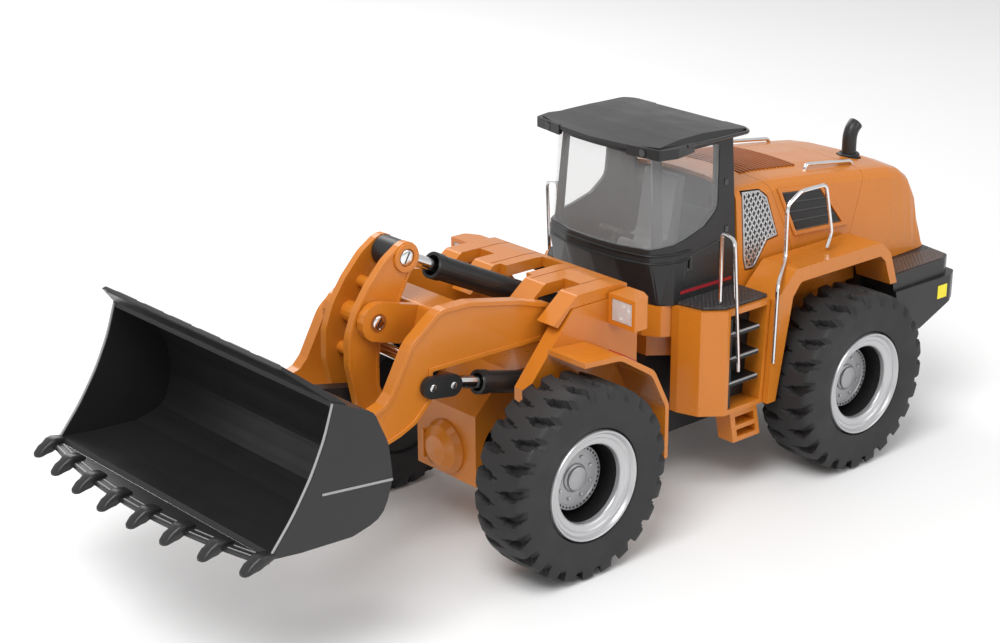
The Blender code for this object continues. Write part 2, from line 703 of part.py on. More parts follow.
# ---------------------------------------------------------------- boom and linkage
def boom(joint, paint):
    arm = [(-95, 144.5), (-117.6, 151.5, 20), (-154, 159), (-176, 159.5, 14), (-197, 144, 20),
           (-211, 119), (-216, 114, 4), (-226, 111)]
    arm += arc(BUCKET_PIVOT, 11, 100, 250, 8)
    arm += [(-215, 90.4), (-205, 93), (-194.3, 97.5, 8), (-182.5, 108.5, 4), (-181.8, 125),
            (-103, 124)]
    arm += arc(BOOM_PIVOT, 6.8, 200, 400, 10)
    outline = rounded(arm)
    body = piece("boom", prism(outline, ARM_INNER, ARM_OUTER, "X"), paint, joint)
    unite(body, flipped(prism(outline, ARM_INNER, ARM_OUTER, "X")), joint)
    beam = rounded([(-150, 137), (-150, 154), (-172, 156, 3), (-176, 140, 3)])
    unite(body, prism(beam, -36, 36, "X"), joint)
    ear = [(-160, 140), (-160, 152), (-196, 162)]
    ear += arc(BELLCRANK_PIVOT, 11, 75, 265, 8)
    ear += [(-186, 136)]
    unite(body, both(prism(ear, PLATE_OUTER + 0.6, 18, "X")), joint)
    unite(body, pin(BELLCRANK_PIVOT, -16, 16, 3), joint)
    unite(body, pin((-184.2, 128), -36, 36, 3.4), joint)
    cut(body, merged(pin(BOOM_PIVOT, -60, 60, 4.3, 20), pin(BUCKET_PIVOT, -60, 60, 3.3)), joint)


def lift_bracket(side, name, joint, paint):
    """A clevis on the arm's rear edge that holds the lift rod's knuckle."""
    lobes = slot((-184.5, 117), (-169.8, 114.8), 6.3)
    body = piece(name, sided(prism(lobes, 30, ARM_INNER - GAP, "X"), side), paint, joint)
    unite(body, sided(prism(lobes, ARM_OUTER + GAP, 45, "X"), side), joint)
    unite(body, sided(box((32, -181.3, 111), (43, -178, 121)), side), joint)
    unite(body, sided(pin(LIFT_ROD_PIN, 32, 43, 2.5), side), joint)


def bellcrank(joint, paint):
    """Two curved plates tied together by cross tubes."""
    front = [(-180.5, 189.5), (-190, 183.5, 20), (-202, 171, 20), (-211, 158, 20),
             (-216.5, 144, 20), (-217, 128, 20), (-212, 104)]
    back = [(-196, 112, 6), (-196, 128), (-194, 140, 8), (-184, 152, 8), (-173, 172, 4)]
    plate = rounded(front + arc(BELLCRANK_FOOT, 8.5, 200, 350, 6) + back
                    + arc(BELLCRANK_TOP, 9, -30, 100, 6))
    body = piece("bellcrank", prism(plate, PLATE_INNER, PLATE_OUTER, "X"), paint, joint)
    unite(body, flipped(prism(plate, PLATE_INNER, PLATE_OUTER, "X")), joint)
    unite(body, merged(pin((-206, 132), -10, 10, 3.6), pin((-191, 167), -10, 10, 3.6),
                       pin(BELLCRANK_PIVOT, -10, 10, 6.2), pin(BELLCRANK_FOOT, -10, 10, 2.5)), joint)
    cut(body, merged(pin(BELLCRANK_PIVOT, -20, 20, 3.3), pin(BELLCRANK_TOP, -20, 20, 3.3)), joint)


def bucket_link(joint, paint):
    """A bar from the bellcrank's foot to the bucket, its front eye oversized."""
    eye = tuple(Vector(BUCKET_LINK_PIN) + Vector(LINK_EYE_OFFSET))
    body = piece("bucket_link", prism(slot(eye, BELLCRANK_FOOT, 6.6), -4.5, 4.5, "X"), paint, joint)
    cut(body, merged(pin(BELLCRANK_FOOT, -20, 20, 2.8), pin(eye, -20, 20, 4.5)), joint)


def bucket(joint, paint):
    outer = rounded([(-292, 154.3), (-283, 150), (-268, 143, 8), (-259.5, 124, 20),
                     (-257.2, 104, 14), (-264, 84, 16), (-284, 79.2, 10), (-316, 80.6),
                     (-334, 82.6), (-319, 100.5), (-307, 118.4), (-298, 136.4)])
    inner = rounded([(-293.3, 152), (-284, 147.3), (-270, 140.6, 6), (-262.1, 123.5, 18),
                     (-259.9, 104.3, 12), (-266, 86.8, 13), (-284.4, 81.9, 8), (-315.8, 83.2),
                     (-334.3, 85.3), (-348, 88), (-305, 165)])
    side = BUCKET_HALF - BUCKET_WALL
    bowl = piece("bucket", prism(outer, -BUCKET_HALF, BUCKET_HALF, "X"), paint, joint)
    cut(bowl, prism(inner, -side, side, "X"), joint)
    guard = [(-286, 149.3), (-292, 154), (-309.5, 170.5), (-307.5, 171.5), (-288, 155),
             (-281, 148.3)]
    unite(bowl, prism(guard, -99, 99, "X"), joint)
    corner = [(78, 174), (99.5, 154.6), (110, 154.6), (110, 174)]
    cut(bowl, both(prism(corner, -330, -280, "Y")), joint)
    lug = arc(BUCKET_PIVOT, 9, -90, 90, 8) + [(-259, 109), (-259, 91)]
    unite(bowl, both(merged(prism(lug, 28, 33.5, "X"), prism(lug, 41.5, 47, "X"))), joint)
    ear = arc(BUCKET_LINK_PIN, 6.5, -70, 100, 8) + [(-261, 124), (-258.8, 106)]
    unite(bowl, both(prism(ear, 5.2, 9.5, "X")), joint)
    unite(bowl, both(pin(BUCKET_PIVOT, 30, 45, 3)), joint)
    unite(bowl, pin(BUCKET_LINK_PIN, -8, 8, 2.5), joint)


def lip_front(x, straight):
    """Y of a line along the lip that bulges forward in the middle."""
    return straight - LIP_BULGE * (1 - (x / BUCKET_HALF) ** 2)


def cutting_edge(joint, paint):
    """A curved blade along the lip with its row of teeth."""
    ends = [(BUCKET_HALF, -334.4), (-BUCKET_HALF, -334.4)]
    front = [BUCKET_HALF * (step / 8 - 1) for step in range(17)]
    blade = ends + [(x, lip_front(x, -338)) for x in front]
    edge = piece("cutting_edge", prism(blade, 80.6, 83.4, "Z"), paint, joint)
    for index in range(TOOTH_COUNT):
        x = TOOTH_SPAN * (2 * index / (TOOTH_COUNT - 1) - 1)
        root = lip_front(x, -336)
        tip = lip_front(x, TOOTH_TIP + LIP_BULGE)
        tooth = [(root + 0.6, 79), (tip, 77.5), (tip, 79), (root - 4, 85.5), (root + 0.6, 85.5)]
        unite(edge, prism(tooth, x - 3, x + 3, "X"), joint)


# ---------------------------------------------------------------- cylinders
def barrel(name, base, rod_pin, mouth, radius, bore, x, joint, paint):
    """A hydraulic barrel with an eye at its base and an open bore."""
    start = Vector((x, *base))
    line = Vector((x, *rod_pin)) - start
    length = line.length - mouth
    line.normalize()
    profile = [(8, 0), (8, radius), (length - 6, radius), (length - 6, radius + 0.6),
               (length, radius + 0.6), (length, bore), (20, bore), (20, 0)]
    body = piece(name, turned(profile, start, line, 24), paint, joint, smooth=True)
    unite(body, rod(start + line * 2, start + line * 10, radius * 0.8, 14), joint)
    unite(body, pin(base, x - 5, x + 5, 7.3, 20), joint)
    cut(body, pin(base, x - 20, x + 20, 3.3), joint)


def cylinder_rod(name, rod_pin, base, reach, eye, half, bore, x, joint, paint):
    """A chromed rod with a knuckle that turns on a pin."""
    start = Vector((x, *rod_pin))
    line = (Vector((x, *base)) - start).normalized()
    body = piece(name, rod(start + line * 2, start + line * reach, LIFT_ROD_RADIUS, 20), paint,
                 joint, smooth=True)
    unite(body, pin(rod_pin, x - half, x + half, eye, 20), joint)
    cut(body, pin(rod_pin, x - 20, x + 20, bore), joint)


def tilt_pin(joint, paint):
    piece("tilt_pin", pin(BELLCRANK_TOP, -12.6, 12.6, 2.8), paint, joint, smooth=True)


def build():
    clear_scene()
    orange = material("orange_plastic", (0.68, 0.25, 0.03), 0.38)
    black = material("black_plastic", (0.045, 0.045, 0.047), 0.5)
    roof = material("dark_grey_plastic", (0.13, 0.13, 0.135), 0.5)
    dark = material("bucket_plastic", (0.03, 0.03, 0.032), 0.45)
    chrome = material("chrome", (0.8, 0.8, 0.82), 0.12, 1.0)
    glass = material("clear_plastic", (0.75, 0.77, 0.78), 0.08)
    screen = material("silver_screen", (0.6, 0.6, 0.62), 0.35, 0.8)
    wheel_paints = {"tyre": material("tyre_rubber", (0.05, 0.05, 0.052), 0.7),
                    "rim": material("silver_plastic", (0.55, 0.55, 0.56), 0.35, 0.6)}

    root = Joint("machine", (0, 0, 0))
    front = Joint("steer", (0, HITCH[0], 65), root)
    arms = Joint("boom_lift", (0, *BOOM_PIVOT), front)
    bowl = Joint("bucket_tilt", (0, *BUCKET_PIVOT), arms)
    crank = Joint("bellcrank_turn", (0, *BELLCRANK_PIVOT), arms)
    link = Joint("link_turn", (0, *BELLCRANK_FOOT), crank)
    tilt_base = Joint("tilt_barrel_turn", (0, *TILT_BASE_PIN), front)
    tilt_end = Joint("tilt_pin_slide", (0, *BELLCRANK_TOP), arms)
    tilt_rod = Joint("tilt_rod_turn", (0, *BELLCRANK_TOP), tilt_end)

    rear_chassis(root, black)
    hitch_pin(root, chrome)
    axle("rear_axle", AXLE_Y, root, black)
    rear_body(root, orange)
    battery_pack(root, black)
    hood(root, orange)
    exhaust(root, black)
    counterweight(root, black)
    cab_frame(root, black)
    cab_glass(root, glass)
    driver_seat(root, black)
    steering_console(root, black)
    cab_roof(root, roof)
    front_chassis(front, orange)
    tower_cheeks(front, orange)
    tower_cover(front, orange)
    axle("front_axle", -AXLE_Y, front, black)
    boom(arms, orange)
    bellcrank(crank, orange)
    bucket_link(link, black)
    bucket(bowl, dark)
    cutting_edge(bowl, dark)
    barrel("tilt_barrel", TILT_BASE_PIN, BELLCRANK_TOP, TILT_MOUTH, TILT_BARREL_RADIUS,
           TILT_BORE_RADIUS, 0, tilt_base, black)
    tilt_pin(tilt_end, chrome)
    cylinder_rod("tilt_rod", BELLCRANK_TOP, TILT_BASE_PIN, 60, 8, 7.4, 3.3, 0, tilt_rod, chrome)

    for label, side in (("left", 1), ("right", -1)):
        ladder_box(side, f"ladder_box_{label}", root, orange)
        ladder(side, f"ladder_{label}", root, black)
        catwalk(side, f"catwalk_{label}", root, black)
        rear_fender(side, f"rear_fender_{label}", root, orange)
        grille(side, f"grille_{label}", root, screen)
        handrails(side, label, root, chrome)
        front_fender(side, f"front_fender_{label}", front, orange)
        headlight(side, f"headlight_{label}", front, orange)
        lift_bracket(side, f"lift_bracket_{label}", arms, black)
        x = CYLINDER_X * side
        turning = Joint(f"lift_barrel_turn_{label}", (x, *LIFT_BASE_PIN), front)
        barrel(f"lift_barrel_{label}", LIFT_BASE_PIN, LIFT_ROD_PIN, LIFT_MOUTH, LIFT_BARREL_RADIUS,
               LIFT_BORE_RADIUS, x, turning, black)
        turning = Joint(f"lift_rod_turn_{label}", (x, *LIFT_ROD_PIN), arms)
        cylinder_rod(f"lift_rod_{label}", LIFT_ROD_PIN, LIFT_BASE_PIN, 60, 6.5, 3.3, 2.8, x,
                     turning, chrome)
        for end, y, frame in (("front", -AXLE_Y, front), ("rear", AXLE_Y, root)):
            spot = (TRACK_HALF * side, y, AXLE_Z)
            wheel(f"{end}_{label}", side, Joint(f"wheel_{end}_{label}", spot, frame), wheel_paints)


if __name__ == "__main__":
    build()
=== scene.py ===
import math

import bmesh
import bpy
from mathutils import Matrix, Vector


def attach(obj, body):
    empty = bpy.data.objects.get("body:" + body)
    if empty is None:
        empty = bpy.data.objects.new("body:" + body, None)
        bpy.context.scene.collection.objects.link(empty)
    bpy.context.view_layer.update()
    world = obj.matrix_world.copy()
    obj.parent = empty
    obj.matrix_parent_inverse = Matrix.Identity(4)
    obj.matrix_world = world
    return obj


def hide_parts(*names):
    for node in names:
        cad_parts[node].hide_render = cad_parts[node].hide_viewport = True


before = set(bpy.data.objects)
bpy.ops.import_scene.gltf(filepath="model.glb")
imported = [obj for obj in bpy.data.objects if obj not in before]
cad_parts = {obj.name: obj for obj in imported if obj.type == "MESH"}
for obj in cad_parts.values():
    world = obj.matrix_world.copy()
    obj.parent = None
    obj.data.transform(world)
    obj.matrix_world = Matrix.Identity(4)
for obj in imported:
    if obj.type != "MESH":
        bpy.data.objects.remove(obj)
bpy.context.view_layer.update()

# Machine millimetres: X to the loader's left, -Y to the front, Z up, Y = 0 between the axles.
MM = 0.001
SHIFT_Y = 60.63
AXLE_Y = 117.6
AXLE_Z = 57.82
TRACK = 85.0
BOOM_PIVOT = (-84.0, 118.0)
BELLCRANK_PIVOT = (-200.0, 151.5)
BELLCRANK_TOP = (-175.5, 182.0)
BELLCRANK_FOOT = (-200.0, 103.5)
BUCKET_PIVOT = (-238.0, 100.0)
HUB_FACE = 2.5
HUB_RIM_FACE = 3.0
BOLTS = 8
BOLT_CIRCLE = 12.4
HUB_SLOTS = 40
SLOT_CIRCLE = 17.8
HOOD_VENTS = 15
VENT_START = 74.0
VENT_PITCH = 3.5
VENT_WIDTH = 1.7
VENT_BEND = 85.0
LOUVRE_SLATS = 4
SIDES = (("left", 1), ("right", -1))


# ---------------------------------------------------------------- materials
def shader_of(name):
    made = bpy.data.materials.new(name)
    made.use_nodes = True
    return made, made.node_tree, made.node_tree.nodes["Principled BSDF"]


def noise(tree, scale, detail=3.0):
    place = tree.nodes.new("ShaderNodeTexCoord")
    texture = tree.nodes.new("ShaderNodeTexNoise")
    texture.inputs["Scale"].default_value = scale
    texture.inputs["Detail"].default_value = detail
    tree.links.new(place.outputs["Object"], texture.inputs["Vector"])
    return texture


def spread(tree, source, low, high):
    """A texture's factor mapped to a range."""
    ranged = tree.nodes.new("ShaderNodeMapRange")
    ranged.inputs["From Min"].default_value = 0.3
    ranged.inputs["From Max"].default_value = 0.7
    ranged.inputs["To Min"].default_value = low
    ranged.inputs["To Max"].default_value = high
    tree.links.new(source, ranged.inputs["Value"])
    return ranged.outputs["Result"]


def tinted(tree, source, colour, amount):
    """A colour that varies a little either way with a texture's factor."""
    ramp = tree.nodes.new("ShaderNodeValToRGB")
    ramp.color_ramp.elements[0].position = 0.3
    ramp.color_ramp.elements[1].position = 0.7
    for element, scale in zip(ramp.color_ramp.elements, (1 - amount, 1 + amount)):
        element.color = (*(min(1.0, part * scale) for part in colour), 1.0)
    tree.links.new(source, ramp.inputs["Fac"])
    return ramp.outputs["Color"]


def bump(tree, shader, height, strength, distance):
    node = tree.nodes.new("ShaderNodeBump")
    node.inputs["Strength"].default_value = strength
    node.inputs["Distance"].default_value = distance
    tree.links.new(height, node.inputs["Height"])
    tree.links.new(node.outputs["Normal"], shader.inputs["Normal"])


def plastic(name, colour, roughness, grain=900.0, strength=0.12, coat=0.0, vary=0.05, metallic=0.0):
    """Moulded plastic: slow colour drift, patchy gloss and a fine mould texture."""
    made, tree, shader = shader_of(name)
    shader.inputs["Specular IOR Level"].default_value = 0.4
    drift = noise(tree, 18.0)
    tree.links.new(tinted(tree, drift.outputs["Fac"], colour, vary), shader.inputs["Base Color"])
    smear = noise(tree, 60.0)
    tree.links.new(spread(tree, smear.outputs["Fac"], roughness * 0.88, roughness * 1.12),
                   shader.inputs["Roughness"])
    fine = noise(tree, grain, 2.0)
    bump(tree, shader, fine.outputs["Fac"], strength, 0.0002)
    shader.inputs["Metallic"].default_value = metallic
    shader.inputs["Coat Weight"].default_value = coat
    shader.inputs["Coat Roughness"].default_value = 0.12
    return made


def chrome(name, roughness=0.14):
    made, tree, shader = shader_of(name)
    shader.inputs["Metallic"].default_value = 1.0
    drift = noise(tree, 120.0)
    tree.links.new(tinted(tree, drift.outputs["Fac"], (0.78, 0.78, 0.79), 0.05),
                   shader.inputs["Base Color"])
    tree.links.new(spread(tree, drift.outputs["Fac"], roughness * 0.7, roughness * 1.3),
                   shader.inputs["Roughness"])
    return made


def clear(name, colour, opacity):
    made, tree, shader = shader_of(name)
    shader.inputs["Alpha"].default_value = opacity
    drift = noise(tree, 25.0)
    tree.links.new(tinted(tree, drift.outputs["Fac"], colour, 0.03), shader.inputs["Base Color"])
    tree.links.new(spread(tree, drift.outputs["Fac"], 0.02, 0.06), shader.inputs["Roughness"])
    return made


def tread_plate(name, colour):
    """Black plastic with a raised diamond grip pattern, painted lighter on its raised ridges and darker
    in its hollows: painted highlight and shade.
    """
    made, tree, shader = shader_of(name)
    place = tree.nodes.new("ShaderNodeTexCoord")
    turn = tree.nodes.new("ShaderNodeMapping")
    turn.inputs["Rotation"].default_value = (0.0, 0.0, math.radians(45))
    tree.links.new(place.outputs["Object"], turn.inputs["Vector"])
    cells = tree.nodes.new("ShaderNodeTexVoronoi")
    cells.inputs["Scale"].default_value = 420.0
    cells.inputs["Randomness"].default_value = 0.25
    tree.links.new(turn.outputs["Vector"], cells.inputs["Vector"])
    # The colour follows the same cell distance as the bump: painted shade in the hollows, painted
    # highlight on the ridges.
    tree.links.new(tinted(tree, cells.outputs["Distance"], colour, 0.35),
                   shader.inputs["Base Color"])
    tree.links.new(spread(tree, cells.outputs["Distance"], 0.35, 0.6), shader.inputs["Roughness"])
    bump(tree, shader, cells.outputs["Distance"], 0.9, 0.0006)
    return made


ORANGE = plastic("orange_moulded", (0.56, 0.175, 0.014), 0.3, strength=0.06, coat=0.3, vary=0.03)
DARK_ORANGE = plastic("orange_shadowed", (0.27, 0.07, 0.008), 0.42, strength=0.1)
BLACK = plastic("black_moulded", (0.012, 0.012, 0.0125), 0.42, strength=0.2)
SATIN = plastic("satin_black", (0.018, 0.018, 0.0185), 0.36, strength=0.12)
BUCKET = plastic("bucket_black", (0.016, 0.016, 0.0165), 0.38, strength=0.12)
# Grey sheet over the black roof's top, lighter than its black edges: painted sheen where the top faces
# the light.
ROOF_TOP_SHEEN = plastic("roof_top_painted_sheen", (0.105, 0.105, 0.108), 0.5, strength=0.25)
TYRE = plastic("tyre_rubber", (0.02, 0.02, 0.021), 0.62, grain=1400.0, strength=0.35, vary=0.1)
SILVER = plastic("silver_moulded", (0.52, 0.52, 0.53), 0.34, strength=0.15, metallic=0.75)
HUB = plastic("hub_silver", (0.4, 0.4, 0.41), 0.42, strength=0.2, metallic=0.6)
MESH = plastic("mesh_silver", (0.62, 0.62, 0.63), 0.25, strength=0.1, metallic=0.9)
CHROME = chrome("chrome_plated")
STEEL = chrome("screw_steel", 0.3)
GLASS = clear("clear_styrene", (0.72, 0.73, 0.74), 0.12)
LENS = clear("lens_clear", (0.8, 0.8, 0.8), 0.4)
GLOSS = plastic("gloss_black", (0.012, 0.012, 0.013), 0.16, strength=0.03, coat=0.6)
GREY = plastic("seat_grey", (0.2, 0.2, 0.205), 0.6, strength=0.3)
# Light grey for thin strips along edges and a rib of black parts: painted highlight where light catches
# them.
EDGE_HIGHLIGHT = plastic("edge_highlight_grey", (0.3, 0.3, 0.3), 0.4, strength=0.2)
RED = plastic("reflector_red", (0.35, 0.012, 0.02), 0.2, grain=1500.0, strength=0.3, coat=0.5)
YELLOW = plastic("plain_yellow", (0.85, 0.72, 0.03), 0.45)
GRIP = tread_plate("grip_plate", (0.04, 0.04, 0.042))
GRIP_BROWN = tread_plate("grip_brown", (0.085, 0.055, 0.045))


# ---------------------------------------------------------------- outlines
def arc(centre, radius, start, end, steps=8):
    points = []
    for step in range(steps + 1):
        angle = math.radians(start + (end - start) * step / steps)
        points.append((centre[0] + radius * math.cos(angle),
                       centre[1] + radius * math.sin(angle)))
    return points


def rounded(corners, fine=12.0):
    """An outline from corners (a, b) or (a, b, r): a third value rounds that corner."""
    outline = []
    count = len(corners)
    for index, corner in enumerate(corners):
        here = Vector(corner[:2])
        if len(corner) == 2:
            outline.append(tuple(here))
            continue
        before = (Vector(corners[index - 1][:2]) - here).normalized()
        after = (Vector(corners[(index + 1) % count][:2]) - here).normalized()
        half = before.angle(after) / 2
        reach = corner[2] / math.tan(half)
        steps = max(3, round((math.pi - 2 * half) / math.radians(fine)))
        first = here + before * reach
        last = here + after * reach
        for step in range(steps + 1):
            part = step / steps
            outline.append(tuple(first * (1 - part) ** 2 + here * 2 * part * (1 - part)
                                 + last * part ** 2))
    return outline


def offset(outline, distance):
    """A closed outline moved inwards, for a frame's inner edge."""
    count = len(outline)
    area = sum(outline[i - 1][0] * outline[i][1] - outline[i][0] * outline[i - 1][1]
               for i in range(count))
    turn = 1 if area > 0 else -1
    moved = []
    for index in range(count):
        here = Vector(outline[index])
        before = (here - Vector(outline[index - 1])).normalized()
        after = (Vector(outline[(index + 1) % count]) - here).normalized()
        normal = (Vector((-before.y, before.x)) + Vector((-after.y, after.x))) * turn
        if normal.length < 1e-6:
            moved.append(tuple(here))
            continue
        normal.normalize()
        lean = max(0.4, normal.dot(Vector((-after.y, after.x)) * turn))
        moved.append(tuple(here + normal * distance / lean))
    return moved


# ---------------------------------------------------------------- solids
AXES = {"X": ((1, 2), 0), "Y": ((0, 2), 1), "Z": ((0, 1), 2)}


def prism(outline, low, high, axis):
    (first, second), along = AXES[axis]
    solid = bmesh.new()
    rings = []
    for level in (low, high):
        ring = []
        for a, b in outline:
            point = [0.0, 0.0, 0.0]
            point[first] = a
            point[second] = b
            point[along] = level
            ring.append(solid.verts.new(point))
        rings.append(ring)
    solid.faces.new(rings[0])
    solid.faces.new(rings[1])
    for index in range(len(outline)):
        after = (index + 1) % len(outline)
        solid.faces.new((rings[0][index], rings[0][after], rings[1][after], rings[1][index]))
    bmesh.ops.recalc_face_normals(solid, faces=solid.faces)
    return solid


def band(outer, inner, low, high, axis):
    """A raised frame between two outlines with the same number of points."""
    (first, second), along = AXES[axis]
    solid = bmesh.new()
    rings = []
    for outline, level in ((outer, low), (outer, high), (inner, high), (inner, low)):
        ring = []
        for a, b in outline:
            point = [0.0, 0.0, 0.0]
            point[first] = a
            point[second] = b
            point[along] = level
            ring.append(solid.verts.new(point))
        rings.append(ring)
    for one, two in zip(rings, rings[1:] + rings[:1]):
        for index in range(len(outer)):
            after = (index + 1) % len(outer)
            solid.faces.new((one[index], one[after], two[after], two[index]))
    bmesh.ops.recalc_face_normals(solid, faces=solid.faces)
    return solid


def box(low, high):
    return prism([(low[1], low[2]), (high[1], low[2]), (high[1], high[2]), (low[1], high[2])],
                 low[0], high[0], "X")


def turned(profile, centre, direction, sides=48, closed=False):
    """A profile of (along, radius) turned about a line."""
    solid = bmesh.new()
    place = Vector(centre)
    turn = Vector(direction).normalized().to_track_quat("Z", "Y").to_matrix()
    rings = []
    for along, radius in profile:
        if radius < 1e-6:
            rings.append([solid.verts.new(place + turn @ Vector((0, 0, along)))])
            continue
        ring = []
        for side in range(sides):
            angle = 2 * math.pi * side / sides
            spoke = Vector((radius * math.cos(angle), radius * math.sin(angle), along))
            ring.append(solid.verts.new(place + turn @ spoke))
        rings.append(ring)
    pairs = list(zip(rings, rings[1:]))
    if closed:
        pairs.append((rings[-1], rings[0]))
    for one, two in pairs:
        for side in range(sides):
            after = (side + 1) % sides
            if len(one) == 1:
                solid.faces.new((one[0], two[side], two[after]))
            elif len(two) == 1:
                solid.faces.new((one[side], one[after], two[0]))
            else:
                solid.faces.new((one[side], one[after], two[after], two[side]))
    bmesh.ops.recalc_face_normals(solid, faces=solid.faces)
    return solid


def merged(*solids):
    whole = bmesh.new()
    for solid in solids:
        mesh = bpy.data.meshes.new("group")
        solid.to_mesh(mesh)
        solid.free()
        whole.from_mesh(mesh)
        bpy.data.meshes.remove(mesh)
    return whole


def flipped(solid):
    bmesh.ops.scale(solid, vec=(-1, 1, 1), verts=solid.verts)
    bmesh.ops.reverse_faces(solid, faces=solid.faces)
    return solid


def sided(solid, side):
    return solid if side > 0 else flipped(solid)


def piece(name, solid, paint, body, slot_shade, bevel=0.35, smooth=35.0, stands_for=()):
    """A finished piece of the visual model, riding on a body."""
    bmesh.ops.translate(solid, vec=(0, SHIFT_Y, 0), verts=solid.verts)
    bmesh.ops.scale(solid, vec=(MM, MM, MM), verts=solid.verts)
    mesh = bpy.data.meshes.new(name)
    solid.to_mesh(mesh)
    solid.free()
    mesh.materials.append(paint)
    mesh.shade_smooth()
    mesh.set_sharp_from_angle(angle=math.radians(smooth))
    thing = bpy.data.objects.new(name, mesh)
    bpy.context.scene.collection.objects.link(thing)
    if bevel:
        edge = thing.modifiers.new("edge", "BEVEL")
        edge.width = bevel * MM
        edge.segments = 2
        edge.limit_method = "ANGLE"
        edge.angle_limit = math.radians(40)
        edge.harden_normals = True
    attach(thing, body)
    for node in stands_for:
        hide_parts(node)
    return thing


def tube(name, route, radius, paint, body, bend=4.0, stands_for=()):
    """A bent round bar with smooth corners and closed ends."""
    corners = [Vector(point) for point in route]
    points = [corners[0]]
    for before, here, after in zip(corners, corners[1:], corners[2:]):
        reach = min(bend, (here - before).length * 0.45, (after - here).length * 0.45)
        first = here + (before - here).normalized() * reach
        last = here + (after - here).normalized() * reach
        for step in range(9):
            part = step / 8
            points.append(first * (1 - part) ** 2 + here * 2 * part * (1 - part)
                          + last * part ** 2)
    points.append(corners[-1])
    curve = bpy.data.curves.new(name, "CURVE")
    curve.dimensions = "3D"
    curve.bevel_depth = radius * MM
    curve.bevel_resolution = 6
    curve.use_fill_caps = True
    spline = curve.splines.new("POLY")
    spline.points.add(len(points) - 1)
    for target, point in zip(spline.points, points):
        target.co = (*((point + Vector((0, SHIFT_Y, 0))) * MM), 1.0)
    spline.use_smooth = True
    curve.materials.append(paint)
    thing = bpy.data.objects.new(name, curve)
    bpy.context.scene.collection.objects.link(thing)
    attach(thing, body)
    for node in stands_for:
        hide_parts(node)
    return thing


def paint_nodes(paint, *names):
    for name in names:
        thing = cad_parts[name]
        for slot_shade in thing.material_slots:
            slot_shade.link = "OBJECT"
            slot_shade.material = paint


# ---------------------------------------------------------------- wheels
LUGS = 24


def tread_depth(angle, across, side):
    """How far a hooked groove cuts in at a place on the tyre, from 0 to 1."""
    x = abs(across)
    if x < 4.0:
        return 0.0
    pitch = 2 * math.pi / LUGS
    hook = math.radians(5.5) * (max(0.0, x - 9.0) / 10.4) ** 2
    stagger = pitch / 2 if across < 0 else 0.0
    from_middle = abs((angle * side + hook + stagger) % pitch - pitch / 2)
    half = math.radians(2.1 + 0.9 * (x - 4.0) / 15.4)
    if x < 7.0:
        half *= math.sqrt(max(0.0, 1 - ((7.0 - x) / 3.0) ** 2))
    return max(0.0, min(1.0, (half - from_middle) / math.radians(0.55) + 0.5))


def tyre(label, side, y, body):
    """A wide rubber tyre with hooked grooves cut into both shoulders of its tread."""
    half = [(-16.5, 33.4), (-18.4, 34.2), (-19.1, 36.5), (-19.3, 42.0), (-19.4, 48.0),
            (-19.4, 51.0), (-19.3, 52.6), (-19.1, 54.0), (-18.7, 55.4), (-18.0, 56.5),
            (-16.8, 57.2), (-15.0, 57.5), (-13.0, 57.65), (-11.0, 57.75), (-9.0, 57.8),
            (-7.6, 57.8), (-6.6, 57.8), (-5.6, 57.8), (-4.8, 57.8), (-4.0, 57.8), (0.0, 57.8)]
    profile = half + [(-x, r) for x, r in reversed(half[:-1])]
    sides = LUGS * 18
    solid = bmesh.new()
    rings = []
    for step in range(sides):
        angle = 2 * math.pi * step / sides
        ring = []
        for x, r in profile:
            reach = max(0.0, min(1.0, (r - 50.0) / 5.5))
            r -= 4.6 * reach * tread_depth(angle, x, side)
            ring.append(solid.verts.new(((TRACK + x) * side, y + r * math.cos(angle),
                                         AXLE_Z + r * math.sin(angle))))
        rings.append(ring)
    for step in range(sides):
        one = rings[step]
        two = rings[(step + 1) % sides]
        for index in range(len(profile)):
            after = (index + 1) % len(profile)
            solid.faces.new((one[index], two[index], two[after], one[after]))
    bmesh.ops.recalc_face_normals(solid, faces=solid.faces)
    piece(f"tyre_{label}_tread", solid, TYRE, body, "rubber", bevel=0, smooth=32,
          stands_for=(f"tyre_{label}",))


def ring_of(count, radius, along, y, side, make):
    """Copies of a small solid spaced round the wheel, facing outwards."""
    solids = []
    for index in range(count):
        angle = 2 * math.pi * (index + 0.5) / count
        place = ((TRACK + along) * side, y + radius * math.cos(angle),
                 AXLE_Z + radius * math.sin(angle))
        solids.append(make(place, (side, 0, 0)))
    return merged(*solids)


